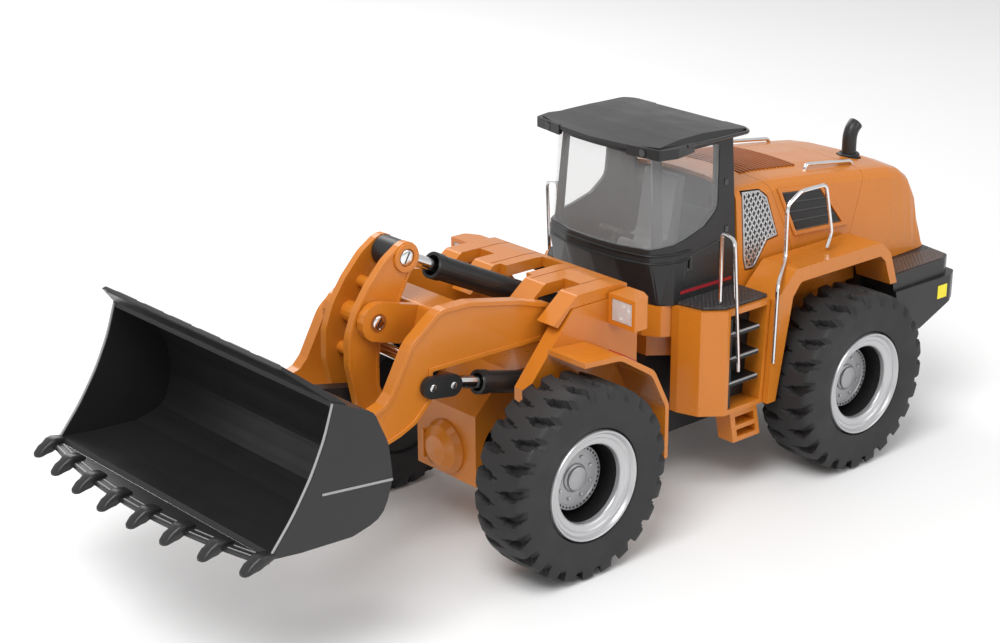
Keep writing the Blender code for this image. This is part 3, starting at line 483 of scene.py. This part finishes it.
def wheel(end, y, word, side):
    label = f"{end}_{word}"
    body = f"wheel_{label}"
    tyre(label, side, y, body)
    centre = (TRACK * side, y, AXLE_Z)
    outward = (side, 0, 0)

    def part(name, profile, paint, closed=True, **more):
        piece(f"rim_{label}_{name}", turned(profile, centre, outward, 72, closed=closed), paint,
              body, "silver_plastic", bevel=0, smooth=40, **more)

    part("flange", [(14.6, 33.0), (18.5, 32.9), (19.2, 32.5), (19.3, 31.8), (18.9, 31.2),
                    (17.5, 30.7), (17.0, 30.2), (16.9, 28.4), (16.2, 27.8), (15.9, 27.0),
                    (15.8, 24.9), (15.3, 24.0), (14.4, 23.5), (12.0, 23.4), (12.0, 24.4),
                    (13.5, 29.0)], SILVER, stands_for=(f"rim_{label}",))
    part("barrel", [(12.2, 24.6), (11.8, 33.0), (-16.5, 33.0), (-16.5, 5.9), (-11.6, 5.9),
                    (-11.6, 24.2)], BLACK)
    part("hub", [(-11.5, 6.0), (-11.5, 19.5), (2.4, 19.5), (HUB_RIM_FACE, 19.1), (HUB_RIM_FACE, 16.4),
                 (HUB_FACE, 16.1), (HUB_FACE, 6.0)], HUB)
    part("cap", [(4.5, 0.0), (4.5, 5.8), (2.4, 5.8), (2.4, 8.2), (3.0, 8.5), (3.5, 8.0),
                 (3.8, 7.3), (5.3, 7.1), (5.8, 6.4), (5.8, 0.0)], HUB, closed=False)
    bolt = [(0, 0), (0, 1.15), (0.8, 1.15), (1.15, 0.7), (1.15, 0)]
    piece(f"rim_{label}_bolts", ring_of(BOLTS, BOLT_CIRCLE, HUB_FACE, y, side, lambda place, way:
          turned(bolt, place, way, 6)), SILVER, body, "silver_plastic", bevel=0)
    # Small black discs ringed round the hub stand for the shade in its slots: painted shade.
    slot_shade = [(0, 0), (0, 0.75), (0.12, 0.75), (0.12, 0)]
    piece(f"rim_{label}_slot_shade", ring_of(HUB_SLOTS, SLOT_CIRCLE, HUB_RIM_FACE, y, side, lambda place, way:
          turned(slot_shade, place, way, 8)), BLACK, body, "silver_plastic", bevel=0)


for end, y in (("front", -AXLE_Y), ("rear", AXLE_Y)):
    for word, side in SIDES:
        wheel(end, y, word, side)


# ---------------------------------------------------------------- carried CAD pieces
paint_nodes(ORANGE, "rear_body", "hood_front", "hood_middle", "hood_tail", "ladder_box_left",
            "ladder_box_right", "rear_fender_left", "rear_fender_right", "front_chassis",
            "tower_cheeks", "tower_cover", "front_fender_left", "front_fender_right",
            "headlight_left", "headlight_right", "boom", "bellcrank")
paint_nodes(BLACK, "rear_chassis", "rear_axle", "front_axle", "battery_pack", "steering_console",
            "bucket_link", "ladder_left", "ladder_right")
paint_nodes(GREY, "driver_seat")
paint_nodes(SATIN, "counterweight", "cab_frame", "lift_bracket_left", "lift_bracket_right",
            "lift_barrel_left", "lift_barrel_right", "tilt_barrel", "cab_roof")
paint_nodes(CHROME, "hitch_pin", "tilt_pin", "tilt_rod", "lift_rod_left", "lift_rod_right",
            "front_rail_left", "front_rail_right", "rear_rail_left", "rear_rail_right")
paint_nodes(GLASS, "cab_glass")
paint_nodes(BUCKET, "bucket")
paint_nodes(SATIN, "grille_left", "grille_right")
paint_nodes(GRIP, "catwalk_left", "catwalk_right")


# ---------------------------------------------------------------- small fittings
def screw(name, place, direction, radius, body, slot_shade, height=1.0, paint=STEEL):
    """A round head with a black bar across it: painted shade in its slot."""
    head = [(0, 0), (0, radius), (height * 0.6, radius), (height, radius * 0.8), (height, 0)]
    piece(f"{name}_head", turned(head, place, direction, 28), paint, body, slot_shade, bevel=0)
    way = Vector(direction)
    middle = Vector(place) + way * height
    across = Vector((0.0, 0.5, 0.866)) if abs(way.x) > 0.5 else Vector((1.0, 0.0, 0.0))
    beside = way.cross(across)
    solid = bmesh.new()
    for up in (-0.3, 0.06):
        for a, b in ((-1, -1), (1, -1), (1, 1), (-1, 1)):
            solid.verts.new(middle + way * up + across * a * radius * 0.8 + beside * b * 0.45)
    solid.verts.ensure_lookup_table()
    v = solid.verts
    for ring in ((0, 1, 2, 3), (4, 5, 6, 7), (0, 1, 5, 4), (1, 2, 6, 5), (2, 3, 7, 6), (3, 0, 4, 7)):
        solid.faces.new([v[index] for index in ring])
    bmesh.ops.recalc_face_normals(solid, faces=solid.faces)
    # The black bar is painted shade in the head's slot.
    piece(f"{name}_slot", solid, BLACK, body, slot_shade, bevel=0)


# ---------------------------------------------------------------- bucket
def lip_front(x, straight):
    return straight - 12.5 * (1 - (x / 101.0) ** 2)


def loft(sections):
    """A finger through rounded sections (x, y, half width, low, high)."""
    solid = bmesh.new()
    rings = []
    for x, y, half, low, high in sections:
        middle = (low + high) / 2
        tall = (high - low) / 2
        ring = []
        for step in range(16):
            angle = 2 * math.pi * step / 16
            across = math.copysign(abs(math.cos(angle)) ** 0.5, math.cos(angle))
            up = math.copysign(abs(math.sin(angle)) ** 0.5, math.sin(angle))
            ring.append(solid.verts.new((x + half * across, y, middle + tall * up)))
        rings.append(ring)
    for one, two in zip(rings, rings[1:]):
        for index in range(16):
            after = (index + 1) % 16
            solid.faces.new((one[index], one[after], two[after], two[index]))
    solid.faces.new(rings[0])
    solid.faces.new(rings[-1])
    bmesh.ops.recalc_face_normals(solid, faces=solid.faces)
    return solid


def cutting_edge():
    front = [101.0 * (step / 12 - 1) for step in range(25)]
    blade = [(101.0, -334.6), (-101.0, -334.6)] + [(x, lip_front(x, -338)) for x in front]
    piece("lip_blade", prism(blade, 80.6, 83.2, "Z"), BUCKET, "bucket", "bucket_plastic",
          stands_for=("cutting_edge",))
    for index in range(7):
        first = 98.0 * (2 * index / 7 - 1) + 6.4
        last = first + 28.0 - 12.8
        for row, back in enumerate((1.0, 4.6)):
            route = [first + (last - first) * step / 6 for step in range(7)]
            strip = [(x, lip_front(x, -338) + back) for x in route]
            strip += [(x, y + 0.55) for x, y in reversed(strip)]
            # Thin light lines along the lip's top: painted highlight.
            piece(f"lip_line_{index}_{row}", prism(strip, 83.1, 83.6, "Z"), EDGE_HIGHLIGHT, "bucket",
                  "bucket_plastic", bevel=0)
    for index in range(8):
        x = 98.0 * (2 * index / 7 - 1)
        lip = lip_front(x, -338)
        tip = lip_front(x, -349)
        piece(f"tooth_{index}", loft([
            (x, lip + 8.5, 3.0, 83.0, 84.0), (x, lip + 7.0, 3.7, 82.2, 85.4),
            (x, lip + 1.0, 4.1, 80.0, 86.6), (x, lip - 2.0, 4.2, 78.8, 86.0),
            (x, lip - 4.6, 3.4, 78.2, 84.2), (x, lip - 7.0, 3.7, 77.9, 82.8),
            (x, tip + 2.2, 3.5, 77.6, 80.8), (x, tip + 0.8, 2.7, 77.6, 79.8),
            (x, tip + 0.1, 1.5, 77.7, 79.2)]), SATIN, "bucket", "bucket_plastic", bevel=0,
            smooth=50)


MOUTH = [(-334.0, 82.8), (-319.0, 100.5), (-307.0, 118.4), (-298.0, 136.4), (-292.2, 153.6)]


def bucket_trim():
    for word, side in SIDES:
        route = [(99.7 * side, y - 0.1, z) for y, z in MOUTH]
        # A light strip along the bucket mouth's side edge: painted highlight.
        tube(f"mouth_edge_{word}", route, 0.75, EDGE_HIGHLIGHT, "bucket", bend=9)
        rib = [(-301.7, 107.2), (-257.6, 102.7), (-257.6, 104.0), (-301.7, 108.5)]
        # The side rib in light grey: painted highlight on the rib.
        piece(f"side_rib_{word}", sided(prism(rib, 100.9, 101.5, "X"), side), EDGE_HIGHLIGHT, "bucket",
              "bucket_plastic", bevel=0.2)
        gusset = [(-309.0, 169.8), (-291.6, 154.4), (-284.0, 150.6), (-284.0, 152.4), (-300.0, 164.8)]
        piece(f"guard_gusset_{word}", sided(prism(gusset, 76.2, 78.0, "X"), side), BUCKET, "bucket",
              "bucket_plastic", bevel=0.3)
    bar = [(-309.3, 169.6), (-307.6, 171.4), (-306.0, 170.6), (-307.6, 168.6)]
    piece("guard_bead", prism(bar, -78, 78, "X"), SATIN, "bucket", "bucket_plastic", bevel=0.3)
    for index in range(6):
        middle = -65 + 26 * index
        step = [(-306.5, 168.6), (-307.4, 171.2), (-303.8, 169.5), (-303.2, 167.2)]
        piece(f"guard_step_{index}", prism(step, middle - 9, middle + 9, "X"), BLACK, "bucket",
              "bucket_plastic", bevel=0.3)


cutting_edge()
bucket_trim()


# ---------------------------------------------------------------- arms and linkage
ARM = rounded([(-95, 144.5), (-117.6, 151.5, 20), (-154, 159), (-176, 159.5, 14), (-197, 144, 20),
               (-211, 119), (-216, 114, 4), (-226, 111)] + arc(BUCKET_PIVOT, 11, 100, 250, 8)
              + [(-215, 90.4), (-205, 93), (-194.3, 97.5, 8), (-182.5, 108.5, 4), (-181.8, 125),
                 (-103, 124)] + arc(BOOM_PIVOT, 6.8, 200, 400, 10))
PLATE = rounded([(-180.5, 189.5), (-190, 183.5, 20), (-202, 171, 20), (-211, 158, 20),
                 (-216.5, 144, 20), (-217, 128, 20), (-212, 104)]
                + arc(BELLCRANK_FOOT, 8.5, 200, 350, 6)
                + [(-196, 112, 6), (-196, 128), (-194, 140, 8), (-184, 152, 8), (-173, 172, 4)]
                + arc(BELLCRANK_TOP, 9, -30, 100, 6))


def arms():
    for word, side in SIDES:
        piece(f"arm_rim_{word}", sided(band(ARM, offset(ARM, 2.6), 40.8, 41.9, "X"), side), ORANGE,
              "boom", "orange_plastic", bevel=0.3)
        piece(f"crank_rim_{word}", sided(band(PLATE, offset(PLATE, 1.9), 12.0, 12.65, "X"), side),
              ORANGE, "bellcrank", "orange_plastic", bevel=0.2)
        outward = (side, 0, 0)
        crank = f"crank_top_{word}"
        boss = [(0, 5.0), (0, 8.4), (1.2, 8.4), (1.6, 8.0), (1.6, 5.4), (1.2, 5.0)]
        piece(f"{crank}_boss", turned(boss, (12.2 * side, *BELLCRANK_TOP), outward, 40, closed=True),
              ORANGE, "bellcrank", "orange_plastic", bevel=0)
        screw(crank, (12.75 * side, *BELLCRANK_TOP), outward, 4.4, "tilt_pin", "chrome", 0.8, CHROME)
        screw(f"crank_middle_{word}", (18.0 * side, *BELLCRANK_PIVOT), outward, 3.7, "boom",
              "chrome", 0.8, CHROME)
        ring = [(0, 3.9), (0, 5.2), (0.35, 5.2), (0.35, 3.9)]
        piece(f"crank_middle_{word}_ring", turned(ring, (18.0 * side, *BELLCRANK_PIVOT), outward,
              32, closed=True), DARK_ORANGE, "boom", "orange_plastic", bevel=0)
        for index, (y, z) in enumerate(((-184.5, 117.0), (-169.8, 114.8))):
            screw(f"bracket_{word}_{index}", (45.0 * side, y, z), outward, 2.1, "boom",
                  "black_plastic", 0.5)
    sleeve = [(-7.35, 7.5), (-7.35, 8.5), (7.35, 8.5), (7.35, 7.5)]
    piece("tilt_sleeve", turned(sleeve, (0, *BELLCRANK_TOP), (1, 0, 0), 48, closed=True), SATIN,
          "tilt_rod", "black_plastic", bevel=0)
    tube("cross_bar", [(-33.8, -184.2, 128), (33.8, -184.2, 128)], 3.7, CHROME, "boom")


arms()


# ---------------------------------------------------------------- front tower
def tower():
    # A black wall in the tower's gap between the cheeks: painted shade inside the tower.
    wall = [(-51.5, 139.5), (-50.3, 139.5), (-50.3, 145.0), (-51.5, 145.0)]
    piece("tower_shade_wall", prism(wall, -47.6, 47.6, "X"), BLACK, "front", "black_plastic", bevel=0.2)
    for index, x in enumerate((-44.5, -18.0, 18.0, 44.5)):
        seam = [(-50.6, 150.7), (-60, 151.9), (-88, 152.2), (-88, 152.45), (-60, 152.15),
                (-50.6, 150.95)]
        piece(f"tower_seam_{index}", prism(seam, x - 0.18, x + 0.18, "X"), DARK_ORANGE, "front",
              "orange_plastic", bevel=0)
    for word, side in SIDES:
        piece(f"lamp_back_{word}", sided(box((62.3, -63.9, 133.3), (78.2, -63.1, 146.2)), side), MESH,
              "front", "silver_plastic", bevel=0)
        vee = [(63.0, 145.6), (70.2, 140.4), (77.5, 145.6), (75.0, 145.6), (70.2, 142.4),
               (65.5, 145.6)]
        piece(f"lamp_vee_{word}", sided(prism(vee, -65.2, -63.9, "Y"), side), CHROME, "front",
              "silver_plastic", bevel=0.1)
        piece(f"lamp_bulb_{word}", sided(turned([(0, 3.6), (0, 4.4), (1.1, 4.4), (1.1, 3.6)],
              (70.2, -63.9, 137.6), (0, -1, 0), 32, closed=True), side), CHROME, "front",
              "silver_plastic", bevel=0)
        piece(f"lamp_lens_{word}", sided(box((62.3, -65.9, 133.3), (78.2, -65.3, 146.2)), side), LENS,
              "front", "clear_plastic", bevel=0.2)
        stop = [(-70.0, 114.9), (-61.0, 109.5), (-60.2, 110.9), (-69.2, 116.4)]
        piece(f"fender_reflector_{word}", sided(prism(stop, 63.0, 78.0, "X"), side), RED, "front",
              "clear_plastic", bevel=0.3)
    piece("case_slot", box((-15.2, -146.0, 46.0), (-12.6, -138.6, 63.5)), ORANGE, "front",
          "orange_plastic", bevel=0.4)


tower()


# ---------------------------------------------------------------- cab
def roof_height(y):
    line = ((-30, 220.4), (-18, 223.0), (0, 224.4), (20, 224.8), (40, 224.0), (60, 222.2))
    for (y0, z0), (y1, z1) in zip(line, line[1:]):
        if y <= y1:
            return z0 + (z1 - z0) * (y - y0) / (y1 - y0)
    return line[-1][1]


def roof_panel():
    solid = bmesh.new()
    rows = []
    for step in range(19):
        y = -17.0 + 66.0 * step / 18
        half = 43.0 - 2.5 * max(0.0, (-5.0 - y) / 12.0)
        top = roof_height(y) + 0.25
        rows.append([solid.verts.new(point) for point in (
            (-half, y, top - 0.6), (-half + 0.7, y, top - 0.05), (-half / 3, y, top),
            (half / 3, y, top), (half - 0.7, y, top - 0.05), (half, y, top - 0.6))])
    for one, two in zip(rows, rows[1:]):
        for index in range(6):
            after = (index + 1) % 6
            solid.faces.new((one[index], one[after], two[after], two[index]))
    solid.faces.new(rows[0])
    solid.faces.new(rows[-1])
    bmesh.ops.recalc_face_normals(solid, faces=solid.faces)
    # The grey top over the black cab roof is a painted sheen.
    piece("roof_panel", solid, ROOF_TOP_SHEEN, "rear", "roof_plastic", bevel=0, smooth=25)


def cab():
    roof_panel()
    for index, (z, swell) in enumerate(((156.0, 0.2), (151.2, 0.5))):
        route = [(-51.0, 10), (-50.9, -3.4), (-44.0, -17.8), (-22.0, -23.7), (0, -24.7),
                 (22.0, -23.7), (44.0, -17.8), (50.9, -3.4), (51.0, 10)]
        tube(f"cab_ledge_{index}", [(x, y - swell * 0.4, z) for x, y in route], 0.8, BLACK, "rear",
             bend=5)
    for word, side in SIDES:
        stripe = [(2.0, 130.0), (46.5, 130.0), (46.5, 132.0), (2.0, 132.0)]
        piece(f"cab_stripe_{word}", sided(prism(stripe, 50.8, 51.15, "X"), side), RED, "rear",
              "black_plastic", bevel=0)
        door = rounded([(3, 134, 2), (34, 134, 2), (35.5, 158, 2), (6, 152, 2)])
        piece(f"door_line_{word}", sided(band(door, offset(door, 0.45), 50.8, 51.12, "X"), side),
              GLOSS, "rear", "black_plastic", bevel=0)
        cup = rounded([(6.5, 144, 1), (11, 144, 1), (11, 153, 1), (6.5, 151.5, 1)])
        piece(f"door_cup_{word}", sided(prism(cup, 50.8, 51.25, "X"), side), GLOSS, "rear",
              "black_plastic", bevel=0.1)
        tube(f"door_bar_{word}", [(51.9 * side, 8.6, 145.0), (51.9 * side, 8.6, 151.0)], 0.65, SATIN,
             "rear")
        pod = [(0, 0), (0, 2.6), (0.7, 2.6), (1.0, 2.2), (1.0, 0)]
        piece(f"roof_lamp_{word}", turned(pod, (40.5 * side, -22.1, 219.4), (0, -1, 0), 28), GLOSS,
              "rear", "black_plastic", bevel=0)
        loop = [(53.0 * side, 2, 221.6), (54.4 * side, 20, 221.6), (54.0 * side, 54, 221.6),
                (47.0 * side, 58.4, 221.6), (30.0 * side, 58.4, 221.6)]
        tube(f"roof_loop_{word}", loop, 1.1, GLOSS, "rear", bend=5)
        for index, z in enumerate((161.0, 190.0)):
            clip = box((47.6 if index else 49.4, 39.5, z), (50.9 if not index else 49.3, 42.5, z + 4))
            piece(f"pillar_clip_{word}_{index}", sided(clip, side), GLOSS, "rear", "black_plastic",
                  bevel=0.2)


cab()


# ---------------------------------------------------------------- hood
def hood_side(z):
    """Half width of the hood's flank at a height."""
    return 55.5 - (z - 112.3) * 0.108


def flank(outline, low, high, side):
    """A plate on the hood's flank, from `low` to `high` outwards of its surface."""
    solid = bmesh.new()
    rings = []
    for out in (low, high):
        rings.append([solid.verts.new((hood_side(z) + out, y, z)) for y, z in outline])
    solid.faces.new(rings[0])
    solid.faces.new(rings[1])
    for index in range(len(outline)):
        after = (index + 1) % len(outline)
        solid.faces.new((rings[0][index], rings[0][after], rings[1][after], rings[1][index]))
    bmesh.ops.recalc_face_normals(solid, faces=solid.faces)
    return sided(solid, side)


def flank_band(outline, inset, low, high, side):
    solid = bmesh.new()
    inner = offset(outline, inset)
    rings = []
    for line, out in ((outline, low), (outline, high), (inner, high), (inner, low)):
        rings.append([solid.verts.new((hood_side(z) + out, y, z)) for y, z in line])
    for one, two in zip(rings, rings[1:] + rings[:1]):
        for index in range(len(outline)):
            after = (index + 1) % len(outline)
            solid.faces.new((one[index], one[after], two[after], two[index]))
    bmesh.ops.recalc_face_normals(solid, faces=solid.faces)
    return sided(solid, side)


def clipped(outline, start, way):
    """Where a line crosses an outline, as the first and last distance along it."""
    found = []
    for index in range(len(outline)):
        a = Vector(outline[index - 1])
        b = Vector(outline[index])
        edge = b - a
        cross = way.x * edge.y - way.y * edge.x
        if abs(cross) < 1e-9:
            continue
        gap = a - start
        along = (gap.x * edge.y - gap.y * edge.x) / cross
        share = (gap.x * way.y - gap.y * way.x) / cross
        if 0 <= share <= 1:
            found.append(along)
    return (min(found), max(found)) if len(found) > 1 else None


GRILLE = rounded([(56.6, 182.2), (71.6, 180.8, 3), (78.4, 175.4, 2), (86.6, 150.0), (77.0, 149.0),
                  (64.6, 134.2, 3), (57.0, 134.6), (55.6, 141.4)])
LOUVRE = [(91.0, 176.0), (127.5, 171.8), (147.5, 146.3), (103.2, 148.8)]


def mesh_wires(side):
    wires = []
    for lean in (55, -55):
        way = Vector((math.cos(math.radians(lean)), math.sin(math.radians(lean))))
        across = Vector((-way.y, way.x))
        for index in range(-14, 15):
            start = Vector((70.5, 158.5)) + across * index * 3.3
            ends = clipped(GRILLE, start, way)
            if ends and ends[1] - ends[0] > 2:
                first = start + way * (ends[0] + 0.4)
                last = start + way * (ends[1] - 0.4)
                corners = [first + across * 0.5, last + across * 0.5, last - across * 0.5,
                           first - across * 0.5]
                wires.append(flank([tuple(corner) for corner in corners], -0.9, -0.1, side))
    return merged(*wires)


def hood():
    for word, side in SIDES:
        piece(f"mesh_{word}", mesh_wires(side), MESH, "rear", "silver_screen", bevel=0)
        piece(f"mesh_frame_{word}", flank_band(GRILLE, 1.2, -0.9, 0.2, side), SILVER, "rear",
              "silver_screen", bevel=0.2)
        piece(f"louvre_back_{word}", flank(offset(LOUVRE, 0.6), -1.2, 0.35, side), GLOSS, "rear",
              "black_plastic", bevel=0)
        piece(f"louvre_frame_{word}", flank_band(offset(LOUVRE, -2.4), 2.6, -1.2, 1.3, side),
              ORANGE, "rear", "orange_plastic", bevel=0.4)
        for index in range(LOUVRE_SLATS):
            top = 0.03 + index * 0.25
            low = top + 0.2
            a, b, c, d = (Vector(corner) for corner in offset(LOUVRE, 0.9))
            slat = [a.lerp(d, top), b.lerp(c, top), b.lerp(c, low), a.lerp(d, low)]
            piece(f"louvre_{word}_{index}", flank([tuple(corner) for corner in slat], 0.2, 0.95,
                  side), BLACK, "rear", "black_plastic", bevel=0.3)
        tube(f"hood_rail_{word}", [(36 * side, 126, 176), (36 * side, 128.5, 184.2),
             (36 * side, 173, 178.5), (36 * side, 176, 172)], 1.25, CHROME, "rear", bend=3)
    vents = []
    for index in range(HOOD_VENTS):
        y = VENT_START + index * VENT_PITCH
        crown = 188.35 - (y - VENT_BEND) * (0.1 if y > VENT_BEND else 0.03)
        arch = [(x, crown - 0.00155 * x * x) for x in range(-30, 31, 6)]
        outline = [(x, z + 0.55) for x, z in arch] + [(x, z - 0.6) for x, z in reversed(arch)]
        vents.append(prism(outline, y, y + VENT_WIDTH, "Y"))
    piece("hood_vents", merged(*vents), DARK_ORANGE, "rear", "orange_plastic", bevel=0)


def exhaust():
    collar = [(0, 0), (0, 7.2), (7.2, 7.2), (8.0, 6.4), (8.0, 0)]
    piece("exhaust_collar", turned(collar, (20, 190, 169.7), (0, 0, 1), 40), BLACK, "rear",
          "black_plastic", bevel=0, stands_for=("exhaust_stack",))
    tube("exhaust_pipe", [(20, 190, 173), (20, 190, 188.5), (20, 192, 193.5), (20, 195.5, 196.3)], 4.8,
         SATIN, "rear", bend=6)
    # A black disc at the pipe's mouth stands for the shade inside the pipe: painted shade.
    piece("exhaust_bore_shade", turned([(0, 0), (0, 3.8), (0.25, 3.8), (0.25, 0)], (20, 195.52, 196.32),
          (0, 0.82, 0.6), 32), GLOSS, "rear", "black_plastic", bevel=0)


def deck():
    for word, side in SIDES:
        patch = rounded([(58.0, 172.0), (78.2, 172.0), (78.4, 222.0, 4), (74.0, 229.6, 4),
                         (60.0, 232.5)])
        piece(f"deck_grip_{word}", sided(prism(patch, 111.8, 112.5, "Z"), side), GRIP_BROWN, "rear",
              "black_plastic", bevel=0.2)
        piece(f"deck_label_{word}", sided(box((82.3, 214.0, 86.5), (83.1, 223.5, 95.5)), side),
              YELLOW, "rear", "black_plastic", bevel=0)
        for index, level in enumerate((74.5, 90.5, 106.5)):
            # Light strips on the tread front edges: painted highlight.
            piece(f"tread_edge_{word}_{index}", sided(box((78.6, 17.0, level + 1.7),
                  (79.5, 42.2, level + 2.9)), side), EDGE_HIGHLIGHT, "rear", "black_plastic", bevel=0.2)


hood()
exhaust()
deck()


# ---------------------------------------------------------------- stage, light and camera
def area_light(name, place, target, size, power):
    light = bpy.data.lights.new(name, "AREA")
    light.shape = "RECTANGLE"
    light.size = size[0]
    light.size_y = size[1]
    light.energy = power
    thing = bpy.data.objects.new(name, light)
    thing.location = place
    aim = Vector(target) - Vector(place)
    thing.rotation_euler = aim.to_track_quat("-Z", "Y").to_euler()
    bpy.context.scene.collection.objects.link(thing)


def stage():
    mesh = bpy.data.meshes.new("floor")
    mesh.from_pydata([(-8, -8, 0), (8, -8, 0), (8, 8, 0), (-8, 8, 0)], [], [(0, 1, 2, 3)])
    floor = bpy.data.objects.new("floor", mesh)
    bpy.context.scene.collection.objects.link(floor)
    made, tree, shader = shader_of("floor_white")
    soft = noise(tree, 3.0)
    tree.links.new(tinted(tree, soft.outputs["Fac"], (0.86, 0.86, 0.86), 0.01),
                   shader.inputs["Base Color"])
    shader.inputs["Roughness"].default_value = 0.75
    mesh.materials.append(made)
    world = bpy.data.worlds.new("studio")
    bpy.context.scene.world = world
    world.use_nodes = True
    sky = world.node_tree.nodes["Background"]
    sky.inputs["Color"].default_value = (1.0, 1.0, 1.0, 1.0)
    sky.inputs["Strength"].default_value = 0.7
    area_light("key", (0.5, -0.9, 1.5), (0.0, 0.0, 0.1), (0.9, 0.9), 22)
    area_light("rim", (-1.3, 0.4, 1.0), (0.0, 0.0, 0.12), (0.6, 1.2), 8)
    area_light("side", (1.5, 0.7, 0.8), (0.0, 0.0, 0.1), (0.8, 0.8), 5)


# The camera's place and aim are fitted to the photograph's viewpoint.
CAMERA_EYE = (876.7, -858.9, 542.1)
CAMERA_AZIMUTH = math.radians(46.02)
CAMERA_ELEVATION = math.radians(22.78)
CAMERA_ROLL = math.radians(0.85)
CAMERA_LENS = 75.627
CAMERA_SENSOR = 36.0
CAMERA_SHIFT = (-0.1014, 0.1081)


def camera():
    azimuth = CAMERA_AZIMUTH
    elevation = CAMERA_ELEVATION
    roll = CAMERA_ROLL
    back = Vector((math.sin(azimuth) * math.cos(elevation),
                   -math.cos(azimuth) * math.cos(elevation), math.sin(elevation)))
    right = Vector((math.cos(azimuth), math.sin(azimuth), 0.0))
    up = back.cross(right)
    turned_right = right * math.cos(roll) + up * math.sin(roll)
    turned_up = up * math.cos(roll) - right * math.sin(roll)
    eye = Vector(CAMERA_EYE) + Vector((0.0, SHIFT_Y, 0.0))
    lens = bpy.data.cameras.new("camera")
    lens.lens = CAMERA_LENS
    lens.sensor_width = CAMERA_SENSOR
    lens.shift_x, lens.shift_y = CAMERA_SHIFT
    thing = bpy.data.objects.new("camera", lens)
    basis = Matrix((turned_right, turned_up, back)).transposed().to_4x4()
    thing.matrix_world = Matrix.Translation(eye * MM) @ basis
    bpy.context.scene.collection.objects.link(thing)
    bpy.context.scene.camera = thing


stage()
camera()
bpy.context.scene.view_settings.view_transform = "Standard"
